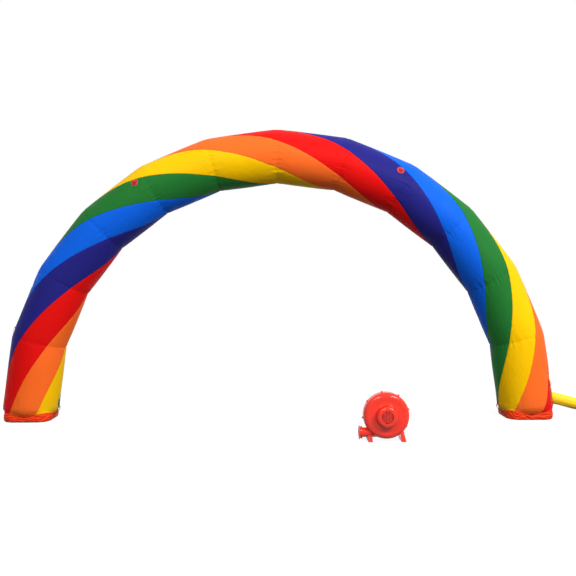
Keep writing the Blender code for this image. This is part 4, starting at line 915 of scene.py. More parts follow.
wire_section = [(math.cos(turn) * RING_WIRE, math.sin(turn) * RING_WIRE) for turn in angles(12)]
for tether_name, (tube, degrees) in TETHERS.items():
    ridge = math.radians(degrees)
    half = half_length(ridge)
    middle_travel = tube + 1 - TETHER_FROM_SEAM / (2 * half)
    stripe_below = list(STRIPES)[int(ridge / STRIPE_TURN + middle_travel + 0.5) % len(STRIPES)]

    def patch_point(across, along, lift):
        turn = ridge + across / ARCH["Tube Radius"]
        run = (2 * (middle_travel - tube) - 1) * half + along
        return on_skin(tube + (run / half_length(turn, lift) + 1) / 2, turn, lift)

    def round_patch(share, turn, lift):
        return patch_point(share * math.sin(turn), share * math.cos(turn), lift)

    rings = [(share, PATCH_HEIGHT) for share in (0.3, 0.6, 0.85, 0.95)]
    rings += [(0.985, PATCH_HEIGHT * 0.8), (1.0, PATCH_HEIGHT * 0.4), (1.0, 0.0001)]
    work = bmesh.new()
    loops = [[work.verts.new(round_patch(PATCH_RADIUS * share, turn, lift))
              for turn in angles(PATCH_STEPS)] for share, lift in rings]
    centre = work.verts.new(patch_point(0, 0, PATCH_HEIGHT))
    for step in range(PATCH_STEPS):
        work.faces.new((centre, loops[0][step], loops[0][(step + 1) % PATCH_STEPS]))
    bridged(work, loops)
    work.faces.new(loops[-1])
    origin = patch_point(0, 0, 0)
    up_skin = (patch_point(0, 0.01, 0) - origin).normalized()
    across_skin = (patch_point(0.01, 0, 0) - origin).normalized()
    mapped_by(work, lambda place: ((place - origin).dot(across_skin),
                                   (place - origin).dot(up_skin)))
    mesh = mesh_of(f"{tether_name}_patch", work)
    mesh.shade_smooth()
    mesh.materials.append(patch_cloth)
    patch = new_piece(f"{tether_name}_patch", mesh)
    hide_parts(f"{tether_name}_tether_patch")
    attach(patch, "arch")

    # The tab and the ring are laid out in the tether's own frame: up the skin, out of it, and
    # along the ring's bar
    angle = (tube + 0.5) * BEND
    out = Vector((0, -math.cos(ridge), 0))
    out += Vector((-math.cos(angle), 0, math.sin(angle))) * math.sin(ridge)
    up = Vector((0, 0, 1))
    up = (up - out * up.dot(out)).normalized()
    bar = up.cross(out)
    # The ring turns about its bar, so the bar lies on the frame's joint
    hinge = next(Vector(joint["pos_m"]) for joint in frame["joints"]
                 if joint["name"] == f"{tether_name}_ring_swing")
    root = hinge - out * BAR_HEIGHT
    sewn = [[(round_patch(reach, 2 * math.pi * step / 72, PATCH_HEIGHT + 0.0001), out)
             for step in range(73)] for reach in (0.038, 0.0355)]
    box = [(0.012, -0.008), (0.019, -0.008), (0.019, 0.008), (0.012, 0.008), (0.012, -0.008)]
    sewn.append([(root + up * a + out * 0.0034 + bar * b, out) for a, b in box])
    repeated(f"{tether_name}_stitches", sewn, stitch_shape(0.003, 0.0004), 0.0042,
             seam_thread, "arch")

    fold_turns = [math.radians(-90 - 15 * step) for step in range(13)]
    tab_line = [(0.021, 0.0008), (0.014, 0.0008), (0.007, 0.0008)]
    tab_line += [(TAB_FOLD * math.cos(t), BAR_HEIGHT + TAB_FOLD * math.sin(t))
                 for t in fold_turns]
    tab_line += [(0.0036, 0.0068), (0.0066, 0.0048), (0.0095, 0.0030), (0.0130, 0.0024),
                 (0.0170, 0.0024), (0.0205, 0.0024)]
    line = smoothed([root + up * a + out * b for a, b in tab_line], 3)
    tab = swept(f"{tether_name}_tab", line, [bar] * len(line), webbing_section(TAB_WIDTH, 0.0015),
                red_webbing)
    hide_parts(f"{tether_name}_tether_tab")
    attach(tab, "arch")

    d_line = [(0, z) for z in (-0.0128, -0.012, -0.006, 0, 0.006, 0.012, 0.0128)]
    d_line += [(-0.0006, 0.0142), (-0.0032, 0.0162)]
    d_line += [(-RING_DEPTH * math.sin(t), RING_BAR / 2 * math.cos(t))
               for t in [math.radians(degree) for degree in range(16, 165, 9)]]
    d_line += [(-0.0032, -0.0162), (-0.0006, -0.0142)]
    looped = smoothed([hinge + up * a + bar * b for a, b in [*d_line, d_line[0]]], 3)[:-1]
    ring = swept(f"{tether_name}_d_ring", looped, [out] * len(looped), wire_section, ring_steel,
                 closed=True)
    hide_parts(f"{tether_name}_tether_ring")
    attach(ring, f"{tether_name}_ring")


# --- Deflation zip -------------------------------------------------------------------------
# Two woven tapes with moulded teeth along their middle edges, sewn over a slit in the left leg.
# A cast slider with a coated pull tab runs up the teeth and lets the air out.

ZIP_TURN = math.radians(75)
ZIP_TUBE = 1
ZIP_LENGTH = 0.5
ZIP_FROM_SEAM = 0.066
TAPE_WIDTH = 0.016
TAPE_GAP = 0.0006
TEETH_PITCH = 0.0042
TOOTH_SIZE = (0.0026, 0.0042, 0.0018)
TAPE_STEPS = 60
zip_tape = finish("woven_zip_tape", linear(28, 28, 30), 0.12, (0.6, 0.8), 0.004, 0.0002,
                  (0.0018, 0.0012, 0.0002))
zip_teeth = finish("moulded_zip_teeth", linear(34, 34, 36), 0.08, (0.3, 0.45), 0.004, 0.00005)
ZIP_ANGLE = (ZIP_TUBE + 0.5) * BEND
run = Vector((math.sin(ZIP_ANGLE), 0, math.cos(ZIP_ANGLE)))
zip_low = on_skin(ZIP_TUBE + ZIP_FROM_SEAM / (2 * half_length(ZIP_TURN)), ZIP_TURN)
tooth_mesh = bmesh.new()
bmesh.ops.create_cube(tooth_mesh, size=1)
for vertex in tooth_mesh.verts:
    narrow = 0.55 if vertex.co.z > 0 else 1.0
    along, across, high = (number * size for number, size in zip(vertex.co, TOOTH_SIZE))
    vertex.co = Vector((along * narrow, across, high))
tooth = mesh_of("zip_tooth", tooth_mesh, False)
for tape_name, side in (("front", -1), ("back", 1)):
    tape_turn = ZIP_TURN + side * (TAPE_WIDTH / 2 + TAPE_GAP) / ARCH["Tube Radius"]
    out = Vector((0, -math.cos(tape_turn), 0))
    out += Vector((-math.cos(ZIP_ANGLE), 0, math.sin(ZIP_ANGLE))) * math.sin(tape_turn)
    sideways = out.cross(run) * side
    centre = zip_low + sideways * (TAPE_WIDTH / 2 + TAPE_GAP) + out * 0.0009
    line = [centre + run * (ZIP_LENGTH * step / TAPE_STEPS) for step in range(TAPE_STEPS + 1)]
    tape = swept(f"zip_{tape_name}_woven_tape", line, [sideways] * len(line),
                 webbing_section(TAPE_WIDTH, 0.0011), zip_tape)
    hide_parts(f"zip_{tape_name}_tape")
    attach(tape, "arch")
    shift = TEETH_PITCH / 2 if side > 0 else 0.0
    first_tooth = zip_low + sideways * 0.0018 + out * 0.0018
    teeth_line = [(first_tooth + run * (0.001 + shift + ZIP_LENGTH * step / 2 * 0.99), out)
                  for step in range(3)]
    teeth = repeated(f"zip_{tape_name}_teeth", [teeth_line], tooth, TEETH_PITCH, zip_teeth, "arch")
    first_stitch = centre + sideways * 0.0055 + out * 0.0007
    hem_line = [(first_stitch + run * (0.003 + ZIP_LENGTH * step / 20 * 0.985), out)
                for step in range(21)]
    repeated(f"zip_{tape_name}_stitches", [hem_line], stitch_shape(0.003, 0.0004), 0.0045,
             seam_thread, "arch")


def bevelled(piece, width, segments, degrees):
    rounding = piece.modifiers.new("rounded edges", "BEVEL")
    rounding.width = width
    rounding.segments = segments
    rounding.limit_method = "ANGLE"
    rounding.angle_limit = math.radians(degrees)
    return rounding


def softened(node_name, piece_name, width, material, body, angle=30):
    """A copy of a CAD node with its doubled corners merged and its sharp edges rounded."""
    work = bmesh.new()
    work.from_mesh(frame["nodes"][node_name].data)
    bmesh.ops.remove_doubles(work, verts=work.verts, dist=0.00002)
    bmesh.ops.dissolve_limit(work, angle_limit=math.radians(1), verts=work.verts, edges=work.edges)
    mesh = mesh_of(piece_name, work, False)
    mesh.shade_smooth()
    mesh.materials.append(material)
    piece = new_piece(piece_name, mesh)
    bevelled(piece, width, 3, angle).harden_normals = True
    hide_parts(node_name)
    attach(piece, body)
    return piece


cast_zinc = finish("cast_zinc", linear(150, 152, 156), 0.06, (0.28, 0.42), 0.003, 0.00006,
                   Metallic=1.0)
pull_coat = finish("coated_pull", linear(205, 22, 20), 0.05, (0.35, 0.5), 0.004, 0.00008)
slider = softened("zip_slider", "zip_cast_slider", 0.0006, cast_zinc, "zip_slider")
pull = softened("zip_pull", "zip_pull_tab", 0.0004, pull_coat, "zip_pull", 40)


# --- Inflation sleeve ----------------------------------------------------------------------
# A duct of yellow nylon, sewn into the right leg through a doubled collar of red nylon. Its mouth
# has a folded hem, and a webbing strap above the collar ties it shut when the blower is off.

SLEEVE_RADIUS = 0.066
SLEEVE_AROUND = 72
SLEEVE_SLOPE = math.radians(14.7)
SLEEVE_ROOT = 0.205
COLLAR_TOP = 0.33
COLLAR_LEVEL = 1 / 3
sleeve_cloth = finish("sleeve_nylon", linear(252, 212, 14), 0.05, (0.42, 0.56), 0.03, 0.002,
                      CLOTH_WEAVE, 0.12, Specular_IOR_Level=0.3)
quarter = math.pi / 2


def root_place(angle, radius, lift):
    """Where the sleeve's round wall meets the leg, raised by a lift."""
    sideways, rise = radius * math.sin(angle), -radius * math.cos(angle)
    turn = quarter + math.asin(sideways / (ARCH["Tube Radius"] + lift))
    recede = ARCH["Tube Radius"] * (1 - math.cos(turn - quarter))
    height = SLEEVE_ROOT + rise / math.cos(SLEEVE_SLOPE) + recede * math.tan(SLEEVE_SLOPE)
    return turn, height


COLLAR_RINGS = 10
COLLAR_AROUND = 96
collar_points, collar_flats = [], []
for ring in range(COLLAR_RINGS + 1):
    share = ring / COLLAR_RINGS
    for angle in angles(COLLAR_AROUND):
        inner_turn, inner_height = root_place(angle, SLEEVE_RADIUS - 0.001, 0.002)
        # The outer edge is a rectangle with rounded corners, seen from the leg's axis
        across, rise = math.sin(angle), -math.cos(angle)
        stretch = min(1 / max(abs(across), abs(rise)), 1.32)
        edge_turn = quarter + math.radians(44.5) * across * stretch
        edge_share = rise * stretch
        lowest = skin(ARCH, TUBES + COLLAR_LEVEL, edge_turn)[2]
        reach = COLLAR_TOP - SLEEVE_ROOT if edge_share > 0 else SLEEVE_ROOT - lowest
        edge_height = SLEEVE_ROOT + reach * edge_share
        turn = inner_turn + (edge_turn - inner_turn) * share
        height = inner_height + (edge_height - inner_height) * share
        lift = 0.0021 if ring < COLLAR_RINGS else 0.0008
        collar_points.append(on_skin(travel_at(turn, height), turn, lift))
        collar_flats.append((turn * ARCH["Tube Radius"], height))
collar_faces = tube_faces(COLLAR_RINGS + 1, COLLAR_AROUND)
corner_flats = [collar_flats[corner] for face in collar_faces for corner in face]
collar = mapped("collar_cloth", collar_points, collar_faces, corner_flats, patch_cloth)
if collar.data.polygons[0].normal.x < 0:
    collar.data.flip_normals()
thickened(collar, 0.0015)
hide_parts("sleeve_collar")
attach(collar, "arch")
border = []
for inset in (0.93, 0.89):
    ring, blend = divmod(inset * COLLAR_RINGS, 1)
    ring_line = []
    for step in range(COLLAR_AROUND + 1):
        index = int(ring) * COLLAR_AROUND + step % COLLAR_AROUND
        place = collar_points[index].lerp(collar_points[index + COLLAR_AROUND], blend)
        out = Vector((place.x - 2 * ARCH["Ring Radius"], place.y, 0)).normalized()
        ring_line.append((place + out * 0.0006, out))
    border.append(ring_line)
collar_thread = finish("collar_thread", linear(150, 12, 10), 0.04, (0.6, 0.8), 0.002, 0.0001)
repeated("collar_stitches", border, stitch_shape(0.004, 0.0005), 0.006, collar_thread, "arch")

SLEEVE_LINE = [(5.795, 0.2045), (5.86, 0.1875), (5.97, 0.1586), (6.08, 0.1298),
               (6.183338, 0.1035), (6.245858, 0.0888), (6.309165, 0.0784),
               (6.372999, 0.0722), (6.437096, 0.07), (6.56, 0.07), (6.6868, 0.07)]
centres = smoothed([Vector((x, 0, z)) for x, z in SLEEVE_LINE], 9)
points, flats, walked = [], [], 0.0
for wider, lift, fall in ((0.004, 0.0026, 0.0), (0.0008, 0.0045, 0.004)):
    for angle in angles(SLEEVE_AROUND):
        turn, height = root_place(angle, SLEEVE_RADIUS + wider, 0.0024)
        points.append(on_skin(travel_at(turn, height), turn, lift))
        flats.append((angle * SLEEVE_RADIUS, fall))
for index, centre in enumerate(centres):
    before, after = centres[max(index - 1, 0)], centres[min(index + 1, len(centres) - 1)]
    run = (after - before).normalized()
    up = Vector((0, 1, 0)).cross(run)
    if up.z < 0:
        up.negate()
    walked += (centre - before).length if index else 0.06
    in_hem = eased(centre.x, 6.60, 6.66)
    slack = eased(walked, 0.25, 0.9) * (1 - in_hem)
    for angle in angles(SLEEVE_AROUND):
        around = Vector((math.cos(angle), math.sin(angle), 0))
        creases = noise.noise(Vector((around.x * 2.2, around.y * 2.2, walked * 9)))
        fine = noise.noise(Vector((around.x * 5, around.y * 5, walked * 22)))
        seam_dip = 0.0018 * math.exp(-((angle - math.pi) / 0.12) ** 2)
        stand = -0.0022 + (0.0022 + 0.0035 * slack) * creases + 0.0012 * fine - seam_dip
        stand += (0.0002 - stand) * in_hem
        flatten = 1 - 0.03 * slack * max(0, math.cos(angle - math.pi))
        reach = (SLEEVE_RADIUS + min(stand, 0.0004)) * flatten
        points.append(centre - up * (reach * math.cos(angle))
                      + Vector((0, reach * math.sin(angle), 0)))
        flats.append((angle * SLEEVE_RADIUS, walked))
faces = tube_faces(len(centres) + 2, SLEEVE_AROUND)
corner_flats = []
for face in faces:
    at_seam = face[1] % SLEEVE_AROUND == 0
    for u, v in [flats[corner] for corner in face]:
        corner_flats.append((2 * math.pi * SLEEVE_RADIUS if at_seam and u == 0 else u, v))
sleeve = mapped("sleeve_duct", points, faces, corner_flats, sleeve_cloth)
test_face = sleeve.data.polygons[len(faces) // 2]
if test_face.normal.dot(test_face.center - Vector((test_face.center.x, 0, 0.07))) < 0:
    sleeve.data.flip_normals()
thickened(sleeve, 0.001)
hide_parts("inflation_sleeve")
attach(sleeve, "arch")

# The hem is a folded band round the mouth, with a full outer edge
HEM_LENGTH = 0.0303
HEM_AXIS = 0.07
MOUTH = 6.687096
hem_profile = [(0.0, 0.0663), (0.0, 0.0682), (0.0015, 0.0690), (0.008, 0.0687),
               (0.022, 0.0688), (0.0285, 0.0689), (HEM_LENGTH, 0.0680),
               (HEM_LENGTH, 0.0663), (0.0285, 0.0653), (0.0250, 0.0655)]
work = bmesh.new()
hem_loops = []
for back, reach in hem_profile:
    loop = []
    for angle in angles(96):
        wave = 1 + 0.006 * noise.noise(
            Vector((math.cos(angle) * 3, math.sin(angle) * 3, back * 60)))
        loop.append(work.verts.new((MOUTH - HEM_LENGTH + back, reach * wave * math.sin(angle),
                                    HEM_AXIS - reach * wave * math.cos(angle))))
    hem_loops.append(loop)
bridged(work, hem_loops + hem_loops[:1])
mapped_by(work, lambda place: (math.atan2(place.y, HEM_AXIS - place.z) * SLEEVE_RADIUS, place.x))
mesh = mesh_of("mouth_hem", work)
mesh.shade_smooth()
mesh.materials.append(sleeve_cloth)
hem = new_piece("mouth_hem", mesh)
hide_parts("sleeve_hem")
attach(hem, "arch")
hem_rows = []
for back in (0.007, 0.024):
    row = []
    for angle in [2 * math.pi * step / 72 for step in range(73)]:
        out = Vector((0, math.sin(angle), -math.cos(angle)))
        row.append((Vector((MOUTH - HEM_LENGTH + back, 0, HEM_AXIS)) + out * 0.0690, out))
    hem_rows.append(row)
repeated("hem_stitches", hem_rows, stitch_shape(0.004, 0.0004), 0.0058, seam_thread, "arch")

STRAP_TURN = math.radians(60)
STRAP_BOW = 0.013
STRAP_LENGTH = 0.14
STRAP_WIDTH = 0.034
STRAP_THICKNESS = 0.0018
strap_webbing = finish("pale_yellow_webbing", linear(240, 222, 140), 0.08, (0.5, 0.7),
                       0.006, 0.0002, WEBBING_WEAVE, 0.1, Specular_IOR_Level=0.3)
strap_low = travel_at(STRAP_TURN, COLLAR_TOP + 0.004)


def on_strap(down, lift):
    return on_skin(strap_low - down / (2 * half_length(STRAP_TURN)), STRAP_TURN, lift)


line = []
for step in range(25):
    share = step / 24
    bow = STRAP_BOW * math.sin(math.pi * min(1, share / 0.75)) ** 2
    line.append(on_strap(STRAP_LENGTH * share, 0.0014 + bow))
out = (on_skin(strap_low, STRAP_TURN, 0.1) - on_skin(strap_low, STRAP_TURN, 0)).normalized()
across = out.cross((line[-1] - line[0]).normalized())
strap = swept("tie_strap_webbing", line, [across] * len(line),
              webbing_section(STRAP_WIDTH, STRAP_THICKNESS), strap_webbing)
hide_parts("sleeve_tie_strap")
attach(strap, "arch")
box = [(-0.013, 0.108), (0.013, 0.108), (0.013, 0.134), (-0.013, 0.134), (-0.013, 0.108)]
sewn = [[(on_strap(down, 0.0025) + across * sideways, out) for sideways, down in corners]
        for corners in (box, [box[0], box[2]])]
repeated("tie_strap_stitches", sewn, stitch_shape(0.003, 0.0004), 0.0042, seam_thread, "arch")


# --- Blower housing ------------------------------------------------------------------------
# Two halves moulded in glossy red-orange plastic and split at the rim: a dished front with the
# motor's dome, a round shoulder, six lugs round the rim, and the outlet pipe low on the left.

BLOWER_PLACE = (Matrix.Translation((3.781967, -1.2, 0.24))
                @ Matrix.Rotation(math.radians(-90), 4, "X"))
HOUSING_RADIUS = 0.22
HALF_DEPTH = 0.08
WALL = 0.003
FRONT_FACE = -0.074
DOME_FRONT = -0.146
VENT_RADIUS = 0.062
INLET_RADIUS = 0.1
PIPE_PLACE = Matrix(((0, 0, -1, 0), (1, 0, 0, 0.164), (0, -1, 0, 0), (0, 0, 0, 1)))
PIPE_RADIUS = 0.046
PIPE_END = 0.26
LUG_TURNS = [math.radians(-29 + 43 * number) for number in range(6)]
LUG_CIRCLE = HOUSING_RADIUS + 0.005
LUG_HALF_LENGTH = 0.012
SIDES = 144
SHARP_FROM = math.radians(32)


def turned(name, profile, place=Matrix(), sides=SIDES, closed=False, material=None):
    """A solid from points of radius and depth, turned about the Z of a place on the blower."""
    work = bmesh.new()
    loops = [[work.verts.new((radius * math.cos(turn), radius * math.sin(turn), depth))
              for turn in angles(sides)] for radius, depth in profile]
    if not closed:
        work.faces.new(loops[0])
        work.faces.new(loops[-1])
    bridged(work, loops + loops[:1] if closed else loops)
    bmesh.ops.transform(work, matrix=BLOWER_PLACE @ place, verts=work.verts)
    mesh = mesh_of(name, work)
    mesh.shade_smooth()
    mesh.set_sharp_from_angle(angle=SHARP_FROM)
    if material:
        mesh.materials.append(material)
    return new_piece(name, mesh)


def block(name, low, high):
    work = bmesh.new()
    bmesh.ops.create_cube(work, size=1)
    for vertex in work.verts:
        vertex.co = Vector([(a + b) / 2 + (b - a) * share
                            for a, b, share in zip(low, high, vertex.co)])
    bmesh.ops.transform(work, matrix=BLOWER_PLACE, verts=work.verts)
    return new_piece(name, mesh_of(name, work, False))


def carved(piece, tool, operation):
    """Joins a solid to another or cuts it with another, which is used up."""
    change = piece.modifiers.new("carve", "BOOLEAN")
    change.operation = operation
    change.solver = "EXACT"
    change.object = tool
    bpy.context.view_layer.update()
    graph = bpy.context.evaluated_depsgraph_get()
    mesh = bpy.data.meshes.new_from_object(piece.evaluated_get(graph))
    piece.modifiers.clear()
    piece.data = mesh
    bpy.data.objects.remove(tool)


def arc(radius, depth, rounding, first, last, steps):
    turns = [math.radians(first + (last - first) * step / steps) for step in range(steps + 1)]
    return [(radius + rounding * math.cos(turn), depth + rounding * math.sin(turn))
            for turn in turns]


outside = [(VENT_RADIUS, DOME_FRONT + 0.0015), (VENT_RADIUS + 0.0015, DOME_FRONT)]
outside += arc(0.074, DOME_FRONT + 0.026, 0.026, -90, -6, 14)
outside += arc(0.1205, -0.0875, 0.0135, 184, 94, 8)
outside += [(0.1300, FRONT_FACE), (0.1450, -0.0748), (0.1580, -0.0775), (0.1680, -0.0794)]
outside += arc(0.175, -0.035, 0.045, -90, 0, 16)
outside += arc(0.175, 0.035, 0.045, 0, 90, 16)
outside += [(INLET_RADIUS, HALF_DEPTH)]
inside = [(VENT_RADIUS, DOME_FRONT - 0.01), (VENT_RADIUS, DOME_FRONT + WALL)]
inside += arc(0.074, DOME_FRONT + 0.026, 0.023, -90, 0, 6)
inside += [(0.105, FRONT_FACE + WALL), (0.148, FRONT_FACE + WALL), (0.158, WALL - HALF_DEPTH)]
inside += arc(0.175, -0.035, 0.042, -90, 0, 10) + arc(0.175, 0.035, 0.042, 0, 90, 10)
inside += [(INLET_RADIUS, HALF_DEPTH - WALL), (INLET_RADIUS, HALF_DEPTH + 0.01)]
shell_plastic = finish("glossy_red_orange_plastic", linear(242, 44, 18), 0.03, (0.13, 0.2),
                       0.012, 0.00022, Specular_IOR_Level=0.42)
lug_places = [Vector((LUG_CIRCLE * math.cos(turn), -LUG_CIRCLE * math.sin(turn), 0))
              for turn in LUG_TURNS]
lug_profile = [(0.0078, -LUG_HALF_LENGTH), (0.009, -LUG_HALF_LENGTH + 0.0012),
               (0.009, LUG_HALF_LENGTH - 0.0012), (0.0078, LUG_HALF_LENGTH)]
hole_profile = [(0.0025, -LUG_HALF_LENGTH - 0.01), (0.0025, 0.0093)]
pipe_profile = [(PIPE_RADIUS, 0.0), (PIPE_RADIUS, PIPE_END)]
bore_profile = [(PIPE_RADIUS - WALL, 0.0), (PIPE_RADIUS - WALL, PIPE_END + 0.01)]
for half_name, side in (("front", -1), ("rear", 1)):
    shell = turned(f"{half_name}_moulded_shell", outside, material=shell_plastic)
    carved(shell, turned("pipe", pipe_profile, PIPE_PLACE, 72, material=shell_plastic), "UNION")
    for place in lug_places:
        lug = turned("lug", lug_profile, Matrix.Translation(place), 28, material=shell_plastic)
        carved(shell, lug, "UNION")
    carved(shell, turned("hollow", inside), "DIFFERENCE")
    carved(shell, turned("bore", bore_profile, PIPE_PLACE, 72), "DIFFERENCE")
    for place in lug_places:
        carved(shell, turned("hole", hole_profile, Matrix.Translation(place), 12), "DIFFERENCE")
    low, high = (-0.00015, 0.5) if side < 0 else (-0.5, 0.00015)
    carved(shell, block("other_half", (-0.5, -0.5, low), (0.5, 0.5, high)), "DIFFERENCE")
    shell.data.materials.clear()
    shell.data.materials.append(shell_plastic)
    shell.data.shade_smooth()
    shell.data.set_sharp_from_angle(angle=SHARP_FROM)
    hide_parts(f"{half_name}_housing")
    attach(shell, "blower")


# --- Outlet flange, grilles and rim screws -------------------------------------------------
# A grooved ring on the pipe's end takes the sleeve and its strap. Slotted discs cover the motor's
# vent in front and the air inlet behind. Six screws through the lugs hold the halves together.

inner = PIPE_RADIUS + 0.0003
flange_profile = [(radius, PIPE_END - back) for radius, back in (
    (inner, 0.0010), (inner + 0.0010, 0), (0.0630, 0), (0.0641, 0.0005), (0.0645, 0.0016),
    (0.0645, 0.0066), (0.0640, 0.0077), (0.0630, 0.0082), (0.0575, 0.0090), (0.0562, 0.0102),
    (0.056, 0.0120), (0.056, 0.0190), (0.0566, 0.0203), (0.0590, 0.0214), (0.0605, 0.0222),
    (0.0610, 0.0236), (0.0610, 0.0286), (0.0604, 0.0297), (0.0592, 0.03), (inner, 0.03),
)]
flange = turned("grooved_flange", flange_profile, PIPE_PLACE, 96, True, shell_plastic)
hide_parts("outlet_flange")
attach(flange, "blower")

slat_sizes = {label: (FLOAT, None)
              for label in ("Radius", "Edge", "Slat", "Rib", "Thickness", "Front")}
slat_sizes.update({"Rows": (WHOLE, None), "Columns": (WHOLE, None),
                   "Plastic": ("NodeSocketMaterial", None)})
slatted, given, result = new_tree("slatted disc", slat_sizes, False)
size = {label: Field(given.outputs[label]) for label in slat_sizes if label != "Plastic"}
reach = size["Radius"] - size["Edge"]
both_ways = added(slatted, "GeometryNodeJoinGeometry")
for count_label, bar_label, axis, depth_share in (("Rows", "Slat", 1, 0.94),
                                                  ("Columns", "Rib", 0, 0.98)):
    pitch = 2.0 * reach / size[count_label]
    start = {axis: pitch - reach, 2: size["Front"] + size["Thickness"] * 0.5}
    bars = added(slatted, "GeometryNodeMeshLine", {
        "Count": size[count_label] - 1.0,
        "Start Location": added(slatted, "ShaderNodeCombineXYZ", start),
        "Offset": added(slatted, "ShaderNodeCombineXYZ", {axis: pitch}),
    })
    split = added(slatted, "ShaderNodeSeparateXYZ",
                  {0: added(slatted, "GeometryNodeInputPosition")})
    away = Field(split.outputs[axis])
    chord = 2.0 * worked("SQRT", worked(
        "MAXIMUM", (reach + 0.001) * (reach + 0.001) - away * away, 0.0))
    bar_size = {axis: size[bar_label], 1 - axis: 1.0, 2: size["Thickness"] * depth_share}
    bar = added(slatted, "GeometryNodeMeshCube",
                {"Size": added(slatted, "ShaderNodeCombineXYZ", bar_size)})
    stretch = added(slatted, "ShaderNodeCombineXYZ", {axis: 1.0, 1 - axis: chord, 2: 1.0})
    copies = added(slatted, "GeometryNodeInstanceOnPoints",
                   {"Points": bars, "Instance": bar, "Scale": stretch})
    fed(both_ways, {0: copies})
coated(slatted, both_ways, given.outputs["Plastic"], result)


def slatted_disc(name, node_name, values, boss_radius=0.008):
    """A slotted disc: its slats and ribs, the ring that they end in, and a small boss."""
    disc = grown(new_piece(name), slatted, values)
    disc.data.transform(BLOWER_PLACE)
    front, thick, radius = values["Front"], values["Thickness"], values["Radius"]
    hollow = radius - values["Edge"]
    rim = [(hollow, front + thick), (hollow, front + 0.0006), (hollow + 0.0006, front),
           (radius - 0.0008, front), (radius, front + 0.0008), (radius, front + thick)]
    ring = turned("rim", rim, sides=96, closed=True)
    boss = turned("boss", [(boss_radius, front + thick), (boss_radius, front + 0.0006),
                           (boss_radius - 0.0012, front), (0.0012, front - 0.0002)], sides=40)
    work = bmesh.new()
    for part in (disc, ring, boss):
        work.from_mesh(part.data)
    work.to_mesh(disc.data)
    work.free()
    for part in (ring, boss):
        bpy.data.objects.remove(part)
    disc.data.materials.clear()
    disc.data.materials.append(values["Plastic"])
    disc.data.shade_smooth()
    disc.data.set_sharp_from_angle(angle=math.radians(35))
    bevelled(disc, 0.0005, 2, 50)
    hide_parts(node_name)
    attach(disc, "blower")


dark_plastic = finish("moulded_dark_plastic", linear(38, 38, 40), 0.08, (0.38, 0.52),
                      0.003, 0.00015)
slatted_disc("slatted_vent", "vent_grille", {
    "Radius": VENT_RADIUS - 0.0003, "Edge": 0.005, "Rows": 11, "Slat": 0.0045,
    "Columns": 4, "Rib": 0.006, "Thickness": 0.003, "Front": DOME_FRONT,
    "Plastic": shell_plastic,
})
slatted_disc("slatted_guard", "inlet_guard", {
    "Radius": INLET_RADIUS + 0.012, "Edge": 0.017, "Rows": 7, "Slat": 0.006,
    "Columns": 4, "Rib": 0.006, "Thickness": 0.003, "Front": HALF_DEPTH + 0.0003,
    "Plastic": dark_plastic,
})

placed_copies, given, result = new_tree("copies at places", {
    "Item": ("NodeSocketObject", None), "Finish": ("NodeSocketMaterial", None),
}, True)
item = added(placed_copies, "GeometryNodeObjectInfo", {"Object": given.outputs["Item"]})
put = added(placed_copies, "GeometryNodeInstanceOnPoints", {
    "Points": given.outputs["Geometry"], "Instance": item.outputs["Geometry"],
})
coated(placed_copies, put, given.outputs["Finish"], result)

screw_steel = finish("zinc_plated_steel", linear(176, 178, 182), 0.05, (0.24, 0.38), 0.002, 0.00003,
                     Metallic=1.0)
HEAD_TOP = -LUG_HALF_LENGTH - 0.0003 - 0.003
SOCKET_REACH = 0.0021
work = bmesh.new()
screw_rings = [
    [work.verts.new((radius * math.cos(a), radius * math.sin(a), depth)) for a in angles(24)]
    for radius, depth in (
        (0.0022, 0.009), (0.0022, HEAD_TOP + 0.003), (0.0048, HEAD_TOP + 0.003),
        (0.0048, HEAD_TOP + 0.0012), (0.0042, HEAD_TOP + 0.0003), (0.0034, HEAD_TOP),
    )
]
for depth in (HEAD_TOP, HEAD_TOP + 0.0018):
    ring = []
    for a in angles(24):
        socket = SOCKET_REACH / math.cos((a + math.pi / 6) % (math.pi / 3) - math.pi / 6)
        ring.append(work.verts.new((socket * math.cos(a), socket * math.sin(a), depth)))
    screw_rings.append(ring)
work.faces.new(screw_rings[0])
work.faces.new(screw_rings[-1])
bridged(work, screw_rings)
screw_mesh = mesh_of("socket_screw", work)
screw_mesh.set_sharp_from_angle(angle=math.radians(35))
lug_points = bpy.data.meshes.new("rim_screws")
lug_points.from_pydata(lug_places, [], [])
screw_pattern = new_piece("pattern", screw_mesh)
rim_screws = grown(new_piece("rim_screws", lug_points), placed_copies,
                   {"Item": screw_pattern, "Finish": screw_steel})
bpy.data.objects.remove(screw_pattern)
rim_screws.data.transform(BLOWER_PLACE)
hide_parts(*[f"rim_screw_{number}" for number in range(1, 7)])
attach(rim_screws, "blower")


# --- Motor and impeller --------------------------------------------------------------------
# Seen through the grilles: a painted motor screwed to a steel plate in the dome, and on its shaft
# a moulded wheel with leaning vanes, held by a nut.

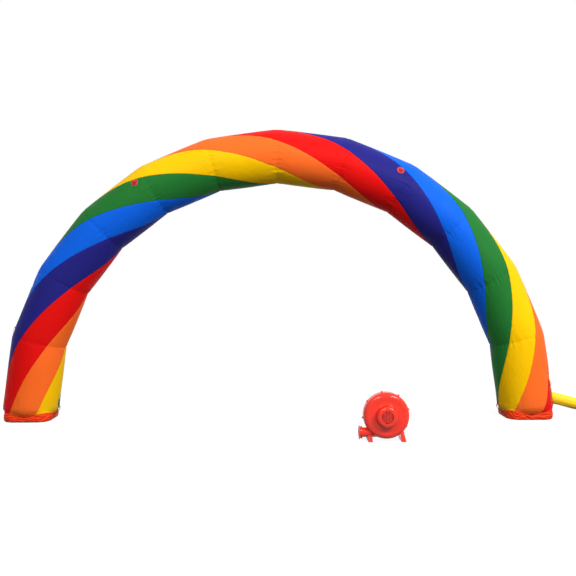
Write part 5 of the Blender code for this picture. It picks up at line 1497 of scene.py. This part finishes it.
motor_paint = finish("motor_enamel", linear(70, 74, 80), 0.06, (0.35, 0.5), 0.002, 0.00008,
                     Metallic=0.4)
motor_screws = [f"motor_screw_{number}" for number in range(1, 5)]
for material, node_names in (
    (screw_steel, ["motor_plate", "motor_shaft", "impeller_nut", *motor_screws]),
    (motor_paint, ["motor_body"]),
    (dark_plastic, ["impeller", "cable_gland"]),
):
    for node_name in node_names:
        for place in frame["nodes"][node_name].material_slots:
            place.material = material


# --- Blower feet and switch ----------------------------------------------------------------
# A block under the outlet and a splayed strut on the other side, moulded in the same plastic. The
# block is drawn in a darker, satin copy of that plastic, as painted shade from the pipe above it.
# On the back a dark switch box with a rocker and a gland for the cord.

# The left foot's plastic is the shell's red darkened, as painted shade under the outlet pipe
foot_plastic_painted_shade = finish("satin_red_plastic", linear(196, 34, 24), 0.05, (0.3, 0.45), 0.01, 0.0003)
left_foot = softened("blower_left_foot", "moulded_left_foot", 0.003, foot_plastic_painted_shade, "blower", 40)
right_foot = softened("blower_right_foot", "moulded_right_foot", 0.003, shell_plastic, "blower", 40)
RIB_LENGTH = 0.030
work = bmesh.new()
rib_rings = []
for y, reach in ((-RIB_LENGTH / 2, 0.0014), (-RIB_LENGTH / 2 + 0.002, 0.0026),
                 (RIB_LENGTH / 2 - 0.002, 0.0026), (RIB_LENGTH / 2, 0.0014)):
    rib_rings.append([work.verts.new((reach * math.cos(a), y, reach * math.sin(a)))
                      for a in angles(10)])
work.faces.new(rib_rings[0])
work.faces.new(rib_rings[-1])
bridged(work, rib_rings)
rib_mesh = mesh_of("strut_rib", work)
rib_mesh.shade_smooth()
strut_out = BLOWER_PLACE.to_3x3() @ Vector((0, -0.379, -0.926))
rib_line = []
for share in (0.14, 0.5, 0.93):
    drop = 0.13 + 0.11 * share
    place = Vector((0.140 + 0.019 * share, drop, -0.055 - 0.045 * share + 0.0006))
    rib_line.append((BLOWER_PLACE @ place, strut_out))
ribs = repeated("strut_ribs", [rib_line], rib_mesh, 0.0105, shell_plastic, "blower")
switch_box = softened("switch_box", "moulded_switch_box", 0.0008, dark_plastic, "blower", 40)
rocker = softened("rocker_switch", "moulded_rocker", 0.0004, dark_plastic, "rocker", 40)
